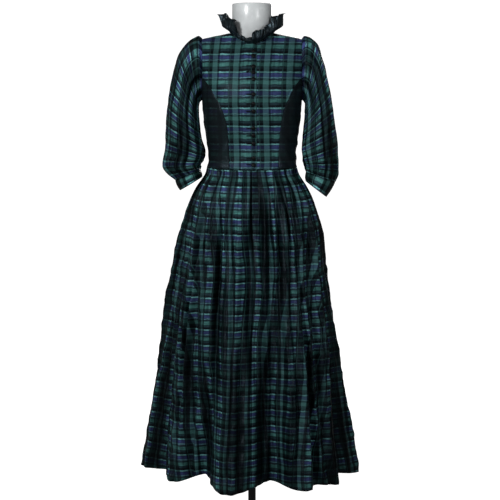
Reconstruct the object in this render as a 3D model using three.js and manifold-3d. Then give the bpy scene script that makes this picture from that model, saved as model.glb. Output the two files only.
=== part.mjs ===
// A plaid dirndl dress with a gathered skirt, puffed sleeves and a neck ruffle, on a limbless dress form.
// Millimetres, +Z up, the front of the dress faces -Y, origin on the floor under the pole.
import * as THREE from 'three';
import Module from 'manifold-3d';

const wasm = await Module();
wasm.setup();

// Cloth and seams
const wall = 1.6; // thickness of the cloth
const seamGap = 0.3; // space between two sewn pieces
const quarter = Math.PI / 2;
const degree = Math.PI / 180;

// Heights of the dress
const waistZ = 971; // waist seam at the sides
const waistDip = 8; // how far the seam drops at the centre front
const underarmZ = 1165;
const neckSideZ = 1348; // where the neckline meets the shoulder seam
const neckHalf = 61; // half the width of the neck hole
const shoulderSlope = 0.207; // fall of the shoulder seam for each millimetre outwards
const shoulderEnd = 153.6; // half the width across the tops of the sides

// Roundness of the plan: 1 is an ellipse, less is squarer
const squareness = 0.87;
// Roundness of the shoulders seen from the side, at the sides and how it changes to front and back
const domeAtSide = 2.6;
const domeChange = 0.4;

// Outside of the bodice at each height
const bodiceSections = [
  { z: 940, side: 133, front: 103, back: 101 },
  { z: 971, side: 128, front: 99, back: 97 },
  { z: 988, side: 124, front: 96, back: 92 },
  { z: 1040, side: 129, front: 101, back: 90 },
  { z: 1088, side: 136, front: 111, back: 92 },
  { z: 1130, side: 140, front: 121, back: 96 },
  { z: 1165, side: 143, front: 125, back: 99 },
  { z: 1200, side: 147, front: 122, back: 100 },
  { z: 1250, side: 149, front: 112, back: 98 },
  { z: 1300, side: 151, front: 103, back: 94 },
  { z: 1350, side: 154, front: 98, back: 90 },
];

// Distance of the princess seams from the centre at each height
const frontSeams = [
  { z: 950, left: 63, right: 73 },
  { z: 1010, left: 64, right: 75 },
  { z: 1060, left: 67, right: 78 },
  { z: 1110, left: 74, right: 84 },
  { z: 1145, left: 87, right: 92 },
  { z: 1180, left: 105, right: 105 },
  { z: 1205, left: 124, right: 124 },
  { z: 1222, left: 142, right: 142 },
];
const backSeams = [
  { z: 950, left: 60, right: 60 },
  { z: 1010, left: 62, right: 62 },
  { z: 1060, left: 66, right: 66 },
  { z: 1110, left: 76, right: 76 },
  { z: 1160, left: 97, right: 97 },
  { z: 1200, left: 124, right: 124 },
  { z: 1222, left: 142, right: 142 },
];
const princessTopX = 140;
const princessTopZ = 1222;
const princessJoin = 0.9; // share of its height from which a seam bends into the armhole

// Edge of the armhole: its angle round the body, in degrees, for each level above the underarm
const armholeEdge = [
  { level: -0.02, front: 90, back: 90 },
  { level: 0.01, front: 82, back: 82.5 },
  { level: 0.05, front: 76.5, back: 78 },
  { level: 0.12, front: 72.5, back: 75 },
  { level: 0.3, front: 70, back: 73 },
  { level: 0.6, front: 68, back: 70 },
  { level: 1, front: 67, back: 67 },
];

// Depth of the neck hole as a share of the body's depth there
const neckFrontShare = 0.627;
const neckBackShare = 0.6;

// The left front laps over the right one
const lapEdgeX = 13; // free edge of the left front
const underLapX = -5; // free edge of the right front, under the left one
const lapStartX = -34; // where the left front starts to rise over the right one
const lapFullX = -14; // and where it has its full rise
const lapRise = wall + 1.5;

// Columns and rows of the bodice pieces
const neckColumns = 4;
const shoulderColumns = 4;
const sideColumns = 5;
const lowerRows = 7;
const upperRows = 6;

// Buttons
const buttonRadius = 6.2;
const buttonHeight = 5.6;
const buttonX = 4;
const buttonGap = 0.5; // over the faceted cloth
const buttonSides = 8;
// Profile of a button, as shares of its radius and height
const buttonProfile = [
  { out: 0, up: 0 },
  { out: 0.55, up: 0 },
  { out: 1, up: 0.32 },
  { out: 0.86, up: 0.7 },
  { out: 0, up: 1 },
];
// Height of each button on the front
const buttonHeights = [1294, 1280, 1250.5, 1234.5, 1216, 1174, 1148, 1127.5, 1081, 1060.5, 1038, 997, 978];

// Outside of the skirt, without its folds, at each height
const skirtSections = [
  { z: 100, left: 287, right: 261, front: 226, back: 243 },
  { z: 202, left: 277, right: 251, front: 217, back: 233 },
  { z: 339, left: 260, right: 240, front: 202, back: 219 },
  { z: 476, left: 244, right: 230, front: 188, back: 205 },
  { z: 590, left: 229, right: 212, front: 175, back: 191 },
  { z: 681, left: 212, right: 201, front: 164, back: 179 },
  { z: 772, left: 196, right: 194, front: 152, back: 166 },
  { z: 863, left: 175, right: 175, front: 136, back: 146 },
  { z: 909, left: 157, right: 157, front: 123, back: 129 },
  { z: 950, left: 131, right: 132, front: 104, back: 103 },
  { z: 971, left: 127, right: 127, front: 98, back: 96 },
];
// Flutes of the hem: angle from the centre front, how far each stands out, height of the hem there
const hemFlutes = [
  { angle: -180, out: -30, hem: 106 },
  { angle: -163, out: 36, hem: 100 },
  { angle: -146, out: -34, hem: 108 },
  { angle: -130, out: 32, hem: 101 },
  { angle: -114, out: -30, hem: 110 },
  { angle: -98, out: 39, hem: 101 },
  { angle: -72, out: -38, hem: 108 },
  { angle: -45, out: 8, hem: 98 },
  { angle: -29, out: -38, hem: 117 },
  { angle: -10, out: 50, hem: 83 },
  { angle: 11, out: -36, hem: 105 },
  { angle: 24, out: 46, hem: 88 },
  { angle: 41, out: 14, hem: 94 },
  { angle: 55, out: 26, hem: 87 },
  { angle: 74, out: -34, hem: 98 },
  { angle: 93, out: 42, hem: 86 },
  { angle: 112, out: -30, hem: 109 },
  { angle: 128, out: 34, hem: 101 },
  { angle: 146, out: -34, hem: 108 },
  { angle: 163, out: 36, hem: 100 },
  { angle: 180, out: -30, hem: 106 },
];
const fluteGrowth = 1.2; // how slowly the flutes open below the waist
// Gathers at the waist seam: how deep they are at each height
const gatherDepths = [
  { z: 560, depth: 0 },
  { z: 700, depth: 1.8 },
  { z: 840, depth: 3 },
  { z: 930, depth: 3.2 },
  { z: 955, depth: 2.4 },
  { z: 970, depth: 0.4 },
];
const skirtGathers = 30;
const skirtColumns = 4 * skirtGathers;
const skirtWidths = [
  { name: 'skirt_back_left', from: -180, to: -120 },
  { name: 'skirt_side_left', from: -120, to: -60 },
  { name: 'skirt_front_left', from: -60, to: 0 },
  { name: 'skirt_front_right', from: 0, to: 60 },
  { name: 'skirt_side_right', from: 60, to: 120 },
  { name: 'skirt_back_right', from: 120, to: 180 },
];
// How far down the skirt each row of points lies, from the waist seam, 0, to the hem, 1
const skirtRows = [0, 0.02, 0.06, 0.12, 0.2, 0.3, 0.42, 0.56, 0.7, 0.85, 1];

// Sleeves: the outer and inner end of each ring, and its depth to the front and back of y = 0
const rightSleeve = [
  { outX: 153, outZ: 1335, inX: 146, inZ: 1156, front: 51, back: 48, gather: 2.2 },
  { outX: 183, outZ: 1317, inX: 150, inZ: 1146, front: 60, back: 56, gather: 3.4 },
  { outX: 202, outZ: 1270, inX: 150, inZ: 1130, front: 66, back: 60, gather: 3 },
  { outX: 218, outZ: 1200, inX: 149, inZ: 1100, front: 68, back: 61, gather: 2.6 },
  { outX: 230, outZ: 1140, inX: 146, inZ: 1064, front: 68, back: 59, gather: 2.6 },
  { outX: 238, outZ: 1080, inX: 141, inZ: 1026, front: 67, back: 56, gather: 2.6 },
  { outX: 241, outZ: 1022, inX: 147, inZ: 990, front: 65, back: 52, gather: 3 },
  { outX: 243, outZ: 968, inX: 153, inZ: 974, front: 62, back: 47, gather: 3.2 },
  { outX: 238, outZ: 928, inX: 153, inZ: 957, front: 54, back: 38, gather: 0.8 },
];
const leftSleeve = [
  { outX: 153, outZ: 1335, inX: 146, inZ: 1156, front: 51, back: 48, gather: 2.2 },
  { outX: 186, outZ: 1315, inX: 150, inZ: 1146, front: 60, back: 56, gather: 3.4 },
  { outX: 211, outZ: 1272, inX: 150, inZ: 1130, front: 66, back: 60, gather: 3 },
  { outX: 226, outZ: 1200, inX: 149, inZ: 1100, front: 68, back: 61, gather: 2.6 },
  { outX: 238, outZ: 1140, inX: 145, inZ: 1064, front: 68, back: 59, gather: 2.6 },
  { outX: 243, outZ: 1078, inX: 138, inZ: 1020, front: 67, back: 56, gather: 2.6 },
  { outX: 246, outZ: 1020, inX: 141, inZ: 994, front: 65, back: 52, gather: 3 },
  { outX: 254, outZ: 968, inX: 148, inZ: 976, front: 62, back: 47, gather: 3.2 },
  { outX: 219, outZ: 932, inX: 146, inZ: 962, front: 54, back: 38, gather: 0.8 },
];
const sleeveGathers = upperRows + sideColumns;
const sleeveTwist = 0.13; // turn of the long folds from head to cuff, in radians
// Cuff bands: the same columns, top and bottom edge
const rightCuff = [
  { outX: 237.4, outZ: 927.3, inX: 153.6, inZ: 956.5, front: 53.6, back: 37.7, gather: 0 },
  { outX: 212, outZ: 884, inX: 153, inZ: 929, front: 52, back: 34, gather: 0 },
];
const leftCuff = [
  { outX: 218.6, outZ: 931.5, inX: 146.4, inZ: 961.4, front: 53.6, back: 37.7, gather: 0 },
  { outX: 205, outZ: 903, inX: 142, inZ: 941, front: 52, back: 35, gather: 0 },
];
const ringColumns = 4 * (upperRows + sideColumns); // two for each edge of the armhole

// Neck ruffle: angle round the neck from the centre front, height, and how far its edge leans out
const ruffleEdge = [
  { angle: -346, rise: 22, out: 10 },
  { angle: -335, rise: 26, out: 22 },
  { angle: -322, rise: 34, out: 4 },
  { angle: -308, rise: 40, out: 24 },
  { angle: -294, rise: 42, out: 2 },
  { angle: -280, rise: 50, out: 30 },
  { angle: -268, rise: 60, out: 30 },
  { angle: -256, rise: 46, out: 4 },
  { angle: -243, rise: 50, out: 26 },
  { angle: -230, rise: 44, out: 4 },
  { angle: -216, rise: 48, out: 24 },
  { angle: -202, rise: 42, out: 2 },
  { angle: -188, rise: 47, out: 24 },
  { angle: -174, rise: 42, out: 2 },
  { angle: -160, rise: 48, out: 25 },
  { angle: -147, rise: 42, out: 3 },
  { angle: -133, rise: 49, out: 25 },
  { angle: -120, rise: 43, out: 4 },
  { angle: -107, rise: 50, out: 26 },
  { angle: -94, rise: 62, out: 29 },
  { angle: -80, rise: 52, out: 29 },
  { angle: -66, rise: 40, out: 4 },
  { angle: -52, rise: 42, out: 26 },
  { angle: -38, rise: 34, out: 3 },
  { angle: -26, rise: 30, out: 24 },
  { angle: -13, rise: 24, out: 6 },
  { angle: 0, rise: 22, out: 20 },
  { angle: 11, rise: 21, out: 8 },
];
const ruffleColumns = 84;
const ruffleRows = [0, 0.2, 0.55, 1];
const ruffleWall = 1.4;
const ruffleStart = 11; // angle of its first end, at the lap of the left front
const ruffleEnd = -343; // angle of its other end, at the edge of the right front
const ruffleLean = 0.62; // share of its height in which it leans out

// Dress form, pole and base
const formSections = [
  { z: 782, side: 118, front: 84, back: 98 },
  { z: 790, side: 134, front: 97, back: 113 },
  { z: 850, side: 143, front: 103, back: 122 },
  { z: 900, side: 137, front: 99, back: 116 },
  { z: 940, side: 123, front: 92, back: 100 },
  { z: 966, side: 117, front: 89, back: 90 },
];
const formColumns = 32;
const formLevels = [-0.9, -0.65, -0.4, -0.15, 0.05, 0.2, 0.38, 0.54, 0.68, 0.8, 0.89, 0.955, 0.993];
// Depth of the form's surface under the outside of the dress
const formGaps = { body: 4.6, frontShoulder: wall + 2.4, backShoulder: wall + 3.5, ridge: wall + 1.15 };
const chestLevels = [0.1, 0.6]; // levels between which the gap of the body changes to that of the shoulder
const ridgeLevels = [0.955, 0.993]; // and that of the shoulder to that of its ridge, which carries the dress
const formShoulderPull = 16; // how far the form's shoulder ends stay inside the dress
const shoulderEndFrom = 0.75; // sine of the angle from which they do
const pullLevels = [0, 0.3];
const neckRadius = 56;
const neckDepth = 54;
const neckCentreY = -2;
const neckTopZ = 1430;
const neckFootZ = 1270;
const neckSides = 28;
const standLift = 50; // how far the dress and its form stand above the heights given here
const poleRadius = 11;
const poleSides = 14;
const baseRadius = 150;
const baseThickness = 12;
const socketRadius = 24;
const socketTopZ = 46;
const baseSides = 32;
const baseProfile = [
  { out: 0, up: 0 },
  { out: baseRadius, up: 0 },
  { out: baseRadius, up: 6 },
  { out: baseRadius - 6, up: baseThickness },
  { out: socketRadius + 8, up: baseThickness + 4 },
  { out: socketRadius, up: baseThickness + 10 },
  { out: poleRadius + 4, up: socketTopZ },
  { out: 0, up: socketTopZ },
];

// Finishes
const plaidCloth = new THREE.MeshStandardMaterial({ color: 0x1f4a47, roughness: 0.5, metalness: 0 });
const darkCloth = new THREE.MeshStandardMaterial({ color: 0x12201f, roughness: 0.55, metalness: 0 });
const buttonCloth = new THREE.MeshStandardMaterial({ color: 0x0b0d10, roughness: 0.4, metalness: 0 });
const formPaint = new THREE.MeshStandardMaterial({ color: 0xe6e7e8, roughness: 0.25, metalness: 0 });
const standMetal = new THREE.MeshStandardMaterial({ color: 0x17181a, roughness: 0.4, metalness: 0.3 });

const dress = new THREE.Group(); // everything but the stand, at the heights given above
const stand = new THREE.Group();

// Reads one column of a table on a smooth curve through its rows, which are in order of the key.
function readTable(table, key, name, at) {
  const last = table.length - 1;
  if (at <= table[0][key]) return table[0][name];
  if (at >= table[last][key]) return table[last][name];
  let row = 0;
  while (at > table[row + 1][key]) row += 1;
  const slopeAt = (i) => {
    const before = table[Math.max(0, i - 1)];
    const after = table[Math.min(last, i + 1)];
    return (after[name] - before[name]) / (after[key] - before[key]);
  };
  const span = table[row + 1][key] - table[row][key];
  const t = (at - table[row][key]) / span;
  const ease = t * t * (3 - 2 * t);
  const start = t * (1 - t) * (1 - t) * span * slopeAt(row);
  const end = t * t * (t - 1) * span * slopeAt(row + 1);
  return table[row][name] * (1 - ease) + table[row + 1][name] * ease + start + end;
}

// Reads a table whose rows are crests and troughs: each row stays the highest or lowest of its wave.
function readWave(table, key, name, at) {
  let row = 0;
  while (row < table.length - 2 && at > table[row + 1][key]) row += 1;
  const t = (at - table[row][key]) / (table[row + 1][key] - table[row][key]);
  const ease = (1 - Math.cos(Math.PI * Math.min(1, Math.max(0, t)))) / 2;
  return table[row][name] * (1 - ease) + table[row + 1][name] * ease;
}

const smoothStep = (from, to, at) => THREE.MathUtils.smoothstep(at, from, to);

// Surface of the bodice. The angle runs round the body from the centre front, positive to +X.
// The level is -1 at the waist, 0 at the underarm and 1 on the shoulder line.
function shoulderZ(angle) {
  const x = shoulderEnd * Math.abs(Math.sin(angle)) ** squareness;
  return neckSideZ - Math.max(0, x - neckHalf) * shoulderSlope;
}

function domePower(angle) {
  return 2 / (domeAtSide - domeChange * Math.cos(angle));
}

function bodyPoint(angle, level) {
  const face = Math.cos(angle) >= 0 ? 'front' : 'back';
  let z = underarmZ + level * (underarmZ - waistZ);
  let closing = 1;
  if (level > 0) {
    const power = domePower(angle);
    const upright = Math.cos(level * quarter);
    z = underarmZ + (shoulderZ(angle) - underarmZ) * Math.sin(level * quarter) ** power;
    closing = Math.sign(upright) * Math.abs(upright) ** power;
  }
  const across = Math.sign(Math.sin(angle)) * Math.abs(Math.sin(angle)) ** squareness;
  const along = Math.sign(Math.cos(angle)) * Math.abs(Math.cos(angle)) ** squareness;
  const x = readTable(bodiceSections, 'z', 'side', z) * across;
  const y = -readTable(bodiceSections, 'z', face, z) * along * closing;
  return new THREE.Vector3(x, y, z);
}

function bodyNormal(angle, level) {
  const step = 0.02;
  const round = bodyPoint(angle + step, level).sub(bodyPoint(angle - step, level));
  const up = bodyPoint(angle, level + step).sub(bodyPoint(angle, level - step));
  return round.cross(up).normalize();
}

function raisedPoint(spot, out) {
  return bodyPoint(spot.x, spot.y).addScaledVector(bodyNormal(spot.x, spot.y), out);
}

// A spot is the pair (angle, level) of a point on the bodice; this one is given by its x and z.
function bodySpot(x, z, face) {
  const share = Math.min(1, Math.abs(x) / readTable(bodiceSections, 'z', 'side', z));
  const fromCentre = Math.asin(share ** (1 / squareness));
  const angle = face === 'front' ? fromCentre : Math.PI - fromCentre;
  let level = (z - underarmZ) / (underarmZ - waistZ);
  if (z > underarmZ) {
    const rise = Math.min(1, (z - underarmZ) / (shoulderZ(angle) - underarmZ));
    level = Math.asin(rise ** (1 / domePower(angle))) / quarter;
  }
  return new THREE.Vector2(Math.sign(x) * angle, level);
}

function waistLevel(angle) {
  return -1 - (waistDip / (underarmZ - waistZ)) * Math.max(0, Math.cos(angle));
}

function armholeSpot(face, level) {
  const fromFace = readTable(armholeEdge, 'level', face, level) * degree;
  return new THREE.Vector2(face === 'front' ? fromFace : Math.PI - fromFace, level);
}

function neckSpot(turn, face) {
  const x = neckHalf * Math.sin(turn);
  const share = face === 'front' ? neckFrontShare : neckBackShare;
  const fromCentre = Math.asin((Math.abs(x) / shoulderEnd) ** (1 / squareness));
  const angle = face === 'front' ? fromCentre : Math.PI - fromCentre;
  const power = domePower(angle);
  const level = Math.acos((share * Math.abs(Math.cos(turn))) ** (1 / power)) / quarter;
  return new THREE.Vector2(Math.sign(x) * angle, level);
}

// Points spread evenly along a curve of spots, by their real distance on the body.
function spread(curve, count) {
  const steps = 200;
  const spots = [];
  const lengths = [0];
  for (let i = 0; i <= steps; i += 1) {
    spots.push(curve(i / steps));
    if (i > 0) {
      const from = bodyPoint(spots[i - 1].x, spots[i - 1].y);
      lengths.push(lengths[i - 1] + from.distanceTo(bodyPoint(spots[i].x, spots[i].y)));
    }
  }
  const result = [];
  for (let i = 0; i <= count; i += 1) {
    const at = (lengths[steps] * i) / count;
    let k = 0;
    while (k < steps - 1 && lengths[k + 1] < at) k += 1;
    const t = (at - lengths[k]) / (lengths[k + 1] - lengths[k] || 1);
    result.push(spots[k].clone().lerp(spots[k + 1], t));
  }
  return result;
}

const mirrored = (spots) => spots.map((spot) => new THREE.Vector2(-spot.x, spot.y));

// Fills the space between four edges of spots. Opposite edges have the same number of points.
function fillPatch(bottom, top, left, right) {
  const columns = bottom.length - 1;
  const rows = left.length - 1;
  const grid = [];
  for (let r = 0; r <= rows; r += 1) {
    const v = r / rows;
    const line = [];
    for (let c = 0; c <= columns; c += 1) {
      const u = c / columns;
      const spot = new THREE.Vector2();
      spot.addScaledVector(bottom[c], 1 - v).addScaledVector(top[c], v);
      spot.addScaledVector(left[r], 1 - u).addScaledVector(right[r], u);
      spot.addScaledVector(bottom[0], -(1 - u) * (1 - v)).addScaledVector(bottom[columns], -u * (1 - v));
      spot.addScaledVector(top[0], -(1 - u) * v).addScaledVector(top[columns], -u * v);
      line.push(spot);
    }
    grid.push(line);
  }
  return grid;
}

// Moves the four edges of a grid of points inwards, so that its seams stay open.
function trimEdges(grid, amount) {
  const rows = grid.length - 1;
  const columns = grid[0].length - 1;
  const pull = (point, towards) => {
    const way = towards.clone().sub(point);
    point.addScaledVector(way.normalize(), amount);
  };
  for (let c = 0; c <= columns; c += 1) {
    pull(grid[0][c], grid[1][c]);
    pull(grid[rows][c], grid[rows - 1][c]);
  }
  for (let r = 0; r <= rows; r += 1) {
    pull(grid[r][0], grid[r][1]);
    pull(grid[r][columns], grid[r][columns - 1]);
  }
}

// Faces of a closed body between an outer and an inner grid. A round one joins its last column to its first.
function wallGeometry(outer, inner, round) {
  const rows = outer.length;
  const columns = outer[0].length;
  const points = [...outer.flat(), ...inner.flat()];
  const inside = rows * columns;
  const at = (r, c) => r * columns + (c % columns);
  const faces = [];
  const quad = (a, b, c, d) => faces.push(a, b, c, a, c, d);
  const lastColumn = round ? columns : columns - 1;
  for (let r = 0; r < rows - 1; r += 1) {
    for (let c = 0; c < lastColumn; c += 1) {
      // The shorter diagonal keeps the wall close to the true curve.
      let [p, q, s, t] = [at(r, c), at(r, c + 1), at(r + 1, c + 1), at(r + 1, c)];
      if (points[q].distanceTo(points[t]) < points[p].distanceTo(points[s])) [p, q, s, t] = [q, s, t, p];
      quad(p, q, s, t);
      quad(inside + s, inside + q, inside + p, inside + t);
    }
  }
  for (let c = 0; c < lastColumn; c += 1) {
    quad(at(0, c + 1), at(0, c), inside + at(0, c), inside + at(0, c + 1));
    quad(at(rows - 1, c), at(rows - 1, c + 1), inside + at(rows - 1, c + 1), inside + at(rows - 1, c));
  }
  for (let r = 0; r < rows - 1 && !round; r += 1) {
    const end = columns - 1;
    quad(at(r, 0), at(r + 1, 0), inside + at(r + 1, 0), inside + at(r, 0));
    quad(at(r + 1, end), at(r, end), inside + at(r, end), inside + at(r + 1, end));
  }
  return closedGeometry(points, faces);
}

// Makes a geometry from points and faces, with its faces pointing out.
function closedGeometry(points, faces) {
  let volume = 0;
  for (let i = 0; i < faces.length; i += 3) {
    const [a, b, c] = [points[faces[i]], points[faces[i + 1]], points[faces[i + 2]]];
    volume += a.dot(b.clone().cross(c));
  }
  const index = volume < 0 ? faces.slice().reverse() : faces;
  const geometry = new THREE.BufferGeometry();
  const positions = points.flatMap((point) => [point.x, point.y, point.z]);
  geometry.setAttribute('position', new THREE.Float32BufferAttribute(positions, 3));
  geometry.setIndex(index);
  return geometry;
}

function addPiece(name, geometry, material, parent = dress) {
  const mesh = new THREE.Mesh(geometry, material);
  mesh.name = name;
  parent.add(mesh);
}

// Inner side of a free grid of points: each point moved in by the thickness.
function innerGrid(outer, thickness, round) {
  const rows = outer.length;
  const columns = outer[0].length;
  const column = (c) => (round ? (c + columns) % columns : Math.min(columns - 1, Math.max(0, c)));
  const row = (r) => Math.min(rows - 1, Math.max(0, r));
  return outer.map((line, r) =>
    line.map((point, c) => {
      const across = outer[r][column(c + 1)].clone().sub(outer[r][column(c - 1)]);
      const down = outer[row(r + 1)][c].clone().sub(outer[row(r - 1)][c]);
      const normal = across.cross(down).normalize();
      return point.clone().addScaledVector(normal, thickness);
    }),
  );
}

// Bodice
const armholeStart = armholeEdge[0].level;
const princessLevel = { front: 0, back: 0 };
for (const face of ['front', 'back']) {
  princessLevel[face] = bodySpot(princessTopX, princessTopZ, face).y;
}

function armholeUpper(face) {
  const start = princessLevel[face];
  return spread((t) => armholeSpot(face, start + (1 - start) * t), upperRows);
}

function armholeLower(face) {
  const end = princessLevel[face];
  return spread((t) => armholeSpot(face, armholeStart + (end - armholeStart) * t * t), sideColumns);
}

function princessSeam(face, side) {
  const table = face === 'front' ? frontSeams : backSeams;
  const top = armholeSpot(face, princessLevel[face]);
  const seam = (t) => {
    const z = waistZ + (princessTopZ - waistZ) * t;
    const spot = bodySpot(readTable(table, 'z', side, z), z, face);
    const bottom = new THREE.Vector2(spot.x, waistLevel(spot.x));
    if (t === 0) return bottom;
    return spot.lerp(top, smoothStep(princessJoin, 1, t));
  };
  return spread(seam, lowerRows);
}

function waistLine(fromAngle, toAngle, columns) {
  const line = (t) => {
    const angle = fromAngle + (toAngle - fromAngle) * t;
    return new THREE.Vector2(angle, waistLevel(angle));
  };
  return spread(line, columns);
}

function neckAndShoulder(startTurn, face, columns) {
  const neck = spread((t) => neckSpot(startTurn + (quarter - startTurn) * t, face), columns);
  const inner = neck[columns];
  const outer = armholeSpot(face, 1);
  const shoulder = spread((t) => new THREE.Vector2(inner.x + (outer.x - inner.x) * t, 1), shoulderColumns);
  return [...neck, ...shoulder.slice(1)];
}

// Builds one bodice piece from its grid of spots. The lift raises it off the body, as a lap does.
const bodiceGrids = {};
function addBodicePiece(name, spots, material, lift) {
  const outer = spots.map((line) => line.map((spot) => raisedPoint(spot, lift(spot))));
  const inner = spots.map((line) => line.map((spot) => raisedPoint(spot, lift(spot) - wall)));
  bodiceGrids[name] = outer.map((line) => line.map((point) => point.clone()));
  trimEdges(outer, seamGap / 2);
  trimEdges(inner, seamGap / 2);
  addPiece(name, wallGeometry(outer, inner, false), material);
}

const flat = () => 0;
const frontEdge = (x, turn) => {
  const top = neckSpot(turn, 'front');
  const bottom = bodySpot(x, waistZ - waistDip, 'front');
  const line = (t) => {
    const z = THREE.MathUtils.lerp(waistZ - waistDip, bodyPoint(top.x, top.y).z, t);
    return t === 1 ? top : bodySpot(x, z, 'front');
  };
  bottom.y = waistLevel(bottom.x);
  const spots = spread(line, lowerRows + upperRows);
  spots[0] = bottom;
  return spots;
};

function addFront(name, side, edgeX, lift) {
  const seam = princessSeam('front', side);
  const right = [...seam, ...armholeUpper('front').slice(1)];
  const reach = side === 'left' ? -edgeX : edgeX;
  const turn = Math.asin(reach / neckHalf);
  const left = frontEdge(reach, turn);
  const bottom = waistLine(left[0].x, seam[0].x, neckColumns + shoulderColumns);
  const top = neckAndShoulder(turn, 'front', neckColumns);
  let edges = [bottom, top, left, right];
  if (side === 'left') edges = edges.map(mirrored);
  addBodicePiece(name, fillPatch(...edges), plaidCloth, lift);
}

addFront('bodice_front_left', 'left', lapEdgeX, (spot) => {
  return lapRise * smoothStep(lapStartX, lapFullX, bodyPoint(spot.x, spot.y).x);
});
addFront('bodice_front_right', 'right', underLapX, flat);

function addSidePiece(name, face, side) {
  const seam = princessSeam(face, side);
  const rise = (t) => new THREE.Vector2(quarter, -1 + (1 + armholeStart) * t);
  const sideSeam = spread(rise, lowerRows);
  const bottom = waistLine(seam[0].x, quarter, sideColumns);
  const top = armholeLower(face).reverse();
  let edges = [bottom, top, seam, sideSeam];
  if (side === 'left') edges = edges.map(mirrored);
  addBodicePiece(name, fillPatch(...edges), darkCloth, flat);
}

for (const side of ['left', 'right']) {
  addSidePiece(`bodice_side_front_${side}`, 'front', side);
  addSidePiece(`bodice_side_back_${side}`, 'back', side);
}

function addBack() {
  const seam = princessSeam('back', 'right');
  const right = [...seam, ...armholeUpper('back').slice(1)];
  const left = mirrored(right).map((spot) => new THREE.Vector2(spot.x + 2 * Math.PI, spot.y));
  const halfNeck = neckAndShoulder(Math.PI, 'back', neckColumns).reverse();
  const otherHalf = mirrored(halfNeck).map((spot) => new THREE.Vector2(spot.x + 2 * Math.PI, spot.y));
  const top = [...halfNeck, ...otherHalf.reverse().slice(1)];
  const bottom = waistLine(right[0].x, left[0].x, top.length - 1);
  addBodicePiece('bodice_back', fillPatch(bottom, top, right, left), plaidCloth, flat);
}
addBack();

// Skirt
function bodyRing(section, angle) {
  const side = angle < 0 ? section.left : section.right;
  const depth = Math.abs(angle) <= 90 ? section.front : section.back;
  const turn = angle * degree;
  const across = Math.sign(Math.sin(turn)) * Math.abs(Math.sin(turn)) ** squareness;
  const along = Math.sign(Math.cos(turn)) * Math.abs(Math.cos(turn)) ** squareness;
  return { x: side * across, y: -depth * along, side, depth };
}

function skirtPoint(angle, down) {
  const topZ = underarmZ + waistLevel(angle * degree) * (underarmZ - waistZ) - 2 * seamGap;
  const hemZ = readWave(hemFlutes, 'angle', 'hem', angle);
  const z = topZ + (hemZ - topZ) * down;
  const section = {};
  for (const name of ['left', 'right', 'front', 'back']) {
    section[name] = readTable(skirtSections, 'z', name, z);
  }
  if (down === 0) {
    const edge = bodyPoint(angle * degree, waistLevel(angle * degree));
    return new THREE.Vector3(edge.x, edge.y, topZ);
  }
  const ring = bodyRing(section, angle);
  const outward = new THREE.Vector3(ring.x / ring.side ** 2, ring.y / ring.depth ** 2, 0).normalize();
  const flute = readWave(hemFlutes, 'angle', 'out', angle) * down ** fluteGrowth;
  const gather = readTable(gatherDepths, 'z', 'depth', z) * Math.cos(angle * degree * skirtGathers);
  return new THREE.Vector3(ring.x, ring.y, z).addScaledVector(outward, flute + gather);
}

function addSkirt() {
  const grid = skirtRows.map((down) => {
    const line = [];
    for (let c = 0; c < skirtColumns; c += 1) line.push(skirtPoint((360 * c) / skirtColumns - 180, down));
    return line;
  });
  const inner = innerGrid(grid, wall, true);
  for (const width of skirtWidths) {
    const first = Math.round(((width.from + 180) / 360) * skirtColumns);
    const last = Math.round(((width.to + 180) / 360) * skirtColumns);
    const cut = (lines) =>
      lines.map((line) => {
        const part = [];
        for (let c = first; c <= last; c += 1) part.push(line[c % skirtColumns].clone());
        return part;
      });
    const outside = cut(grid);
    const inside = cut(inner);
    trimEdges(outside, seamGap / 2);
    trimEdges(inside, seamGap / 2);
    addPiece(width.name, wallGeometry(outside, inside, false), plaidCloth);
  }
}
addSkirt();

// Sleeves. A ring starts at its outer end, goes down its front to the inner end and up its back.
function sleeveRing(row, side, share) {
  const centre = new THREE.Vector3((row.outX + row.inX) / 2, 0, (row.outZ + row.inZ) / 2);
  const toOuter = new THREE.Vector3(row.outX, 0, row.outZ).sub(centre);
  const ring = [];
  for (let i = 0; i < ringColumns; i += 1) {
    const turn = (i / ringColumns) * 4 * quarter;
    const depth = Math.sin(turn) >= 0 ? row.front : row.back;
    const wave = row.gather * Math.cos((turn + sleeveTwist * share) * sleeveGathers);
    const outward = toOuter.clone().normalize().multiplyScalar(Math.cos(turn));
    outward.y = -Math.sin(turn);
    const point = centre.clone().addScaledVector(toOuter, Math.cos(turn));
    point.y = -depth * Math.sin(turn);
    point.addScaledVector(outward, wave);
    if (side === 'left') point.x = -point.x;
    ring.push(point);
  }
  return ring;
}

function armholeRing(side) {
  const front = [...armholeUpper('front').reverse(), ...armholeLower('front').reverse().slice(1)];
  const back = [...armholeLower('back').slice(1), ...armholeUpper('back').slice(1, upperRows)];
  const corners = [...front, ...back].map((spot) => bodyPoint(spot.x, spot.y));
  const ring = [];
  corners.forEach((corner, i) => {
    const next = corners[(i + 1) % corners.length];
    ring.push(corner.clone(), corner.clone().lerp(next, 0.5));
  });
  return ring.map((point) => {
    point.x += 2 * seamGap;
    if (side === 'left') point.x = -point.x;
    return point;
  });
}

function addSleeve(side, rings, cuffRings) {
  const tube = [armholeRing(side)];
  rings.forEach((row, i) => tube.push(sleeveRing(row, side, i / rings.length)));
  addPiece(`sleeve_${side}`, wallGeometry(tube, sleeveInner(tube, side), true), plaidCloth);
  const band = cuffRings.map((row) => sleeveRing(row, side, 1));
  addPiece(`cuff_${side}`, wallGeometry(band, sleeveInner(band, side), true), plaidCloth);
}

function sleeveInner(tube, side) {
  return innerGrid(tube, side === 'left' ? wall : -wall, true);
}
addSleeve('right', rightSleeve, rightCuff);
addSleeve('left', leftSleeve, leftCuff);

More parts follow.
